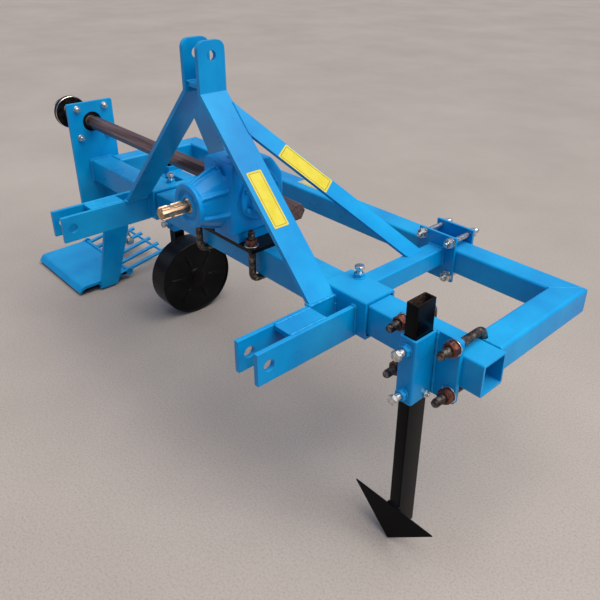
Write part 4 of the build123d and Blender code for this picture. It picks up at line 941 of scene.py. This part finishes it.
# Camera: the photograph's own place and lens, from a least-squares fit to the machine's corners
eye = Vector((RIGHT_END + 0.5334, FRONT_FACE - 0.9624, BEAM_TOP + 0.7734))
swing, dip, roll = radians(46.63), radians(27.45), radians(0.679)
forward = Vector((-sin(swing) * cos(dip), cos(swing) * cos(dip), -sin(dip)))
level = Vector((cos(swing), sin(swing), 0))
upright = level.cross(forward)
right, up = level * cos(roll) + upright * sin(roll), upright * cos(roll) - level * sin(roll)
photo_px, focal_px, centre_px, sensor_mm = 600, 652.4, (316.9, 262.3), 36
lens = bpy.data.cameras.new("camera")
lens.sensor_width = sensor_mm
lens.lens = focal_px / photo_px * sensor_mm
lens.shift_x = (photo_px / 2 - centre_px[0]) / photo_px
lens.shift_y = (centre_px[1] - photo_px / 2) / photo_px
lens.clip_end = 200
camera = bpy.data.objects.new("camera", lens)
camera.matrix_world = axes_at(eye, right, up)
bpy.context.scene.collection.objects.link(camera)
bpy.context.scene.camera = camera

# Floor: pale trowelled concrete, faintly mottled, with fine sand in it
concrete, tree, place, shader = new_material("trowelled_concrete")
mottle_mm, sand_mm, floor_half = 900, 6, 60
pattern = {"Vector": place, "Scale": per_metre(mottle_mm), "Detail": 6.0, "Roughness": 0.6}
mottle = node(tree, "TexNoise", pattern).outputs["Fac"]
tone = node(tree, "ValToRGB", {0: mottle}, ((0.3, "#9D958D"), (0.72, "#A9A199"))).outputs[0]
pattern = {"Vector": place, "Scale": per_metre(sand_mm), "Detail": 8.0, "Roughness": 0.85}
sand = node(tree, "TexNoise", pattern).outputs["Fac"]
speck = node(tree, "ValToRGB", {0: sand}, ((0.36, "#B0B0B0"), (0.52, "#FFFFFF"))).outputs[0]
sanded = node(tree, "Mix", {0: 0.55, 6: tone, 7: speck}, data_type="RGBA", blend_type="MULTIPLY").outputs[2]
tree.links.new(sanded, shader.inputs["Base Color"])
shader.inputs["Roughness"].default_value = 0.88
bump = node(tree, "Bump", {"Height": sand, "Strength": 0.18, "Distance": 0.0005})
tree.links.new(bump.outputs[0], shader.inputs["Normal"])
mesh = bmesh.new()
corners = ((-1, -1), (1, -1), (1, 1), (-1, 1))
mesh.faces.new([mesh.verts.new((x * floor_half, y * floor_half, 0)) for x, y in corners])
data = bpy.data.meshes.new("floor")
mesh.to_mesh(data)
mesh.free()
data.materials.append(concrete)
floor = bpy.data.objects.new("floor", data)
bpy.context.scene.collection.objects.link(floor)

# Light: an even pale room, a broad soft source high on the right, two weak softboxes for highlights
world = bpy.data.worlds.new("pale_room")
bpy.context.scene.world = world
world.use_nodes = True
world.node_tree.nodes["Background"].inputs["Color"].default_value = paint("#B4C6F6")
world.node_tree.nodes["Background"].inputs["Strength"].default_value = 0.42


def lamp(name, kind, at, aim, energy, colour, **settings):
    """Light at a place, aimed at a point."""
    light = bpy.data.lights.new(name, kind)
    light.energy, light.color = energy, paint(colour)[:3]
    for key, value in settings.items():
        setattr(light, key, value)
    holder = bpy.data.objects.new(name, light)
    holder.matrix_world = along(at, Vector(at) - Vector(aim))
    bpy.context.scene.collection.objects.link(holder)


lamp("broad_overhead", "SUN", (1.45, 0.45, 4.0), (0, 0, 0), 3.55, "#FFF6E8", angle=radians(58))
lamp("softbox_left", "AREA", (-2.6, -2.2, 2.4), (0, 0, 0.5), 12, "#EEF4FF", shape="DISK", size=2.2)
lamp("softbox_right", "AREA", (3.4, 0.9, 2.2), (0.3, 0, 0.5), 34, "#F6F8FF", shape="DISK", size=1.8)

bpy.context.scene.view_settings.view_transform = "Standard"
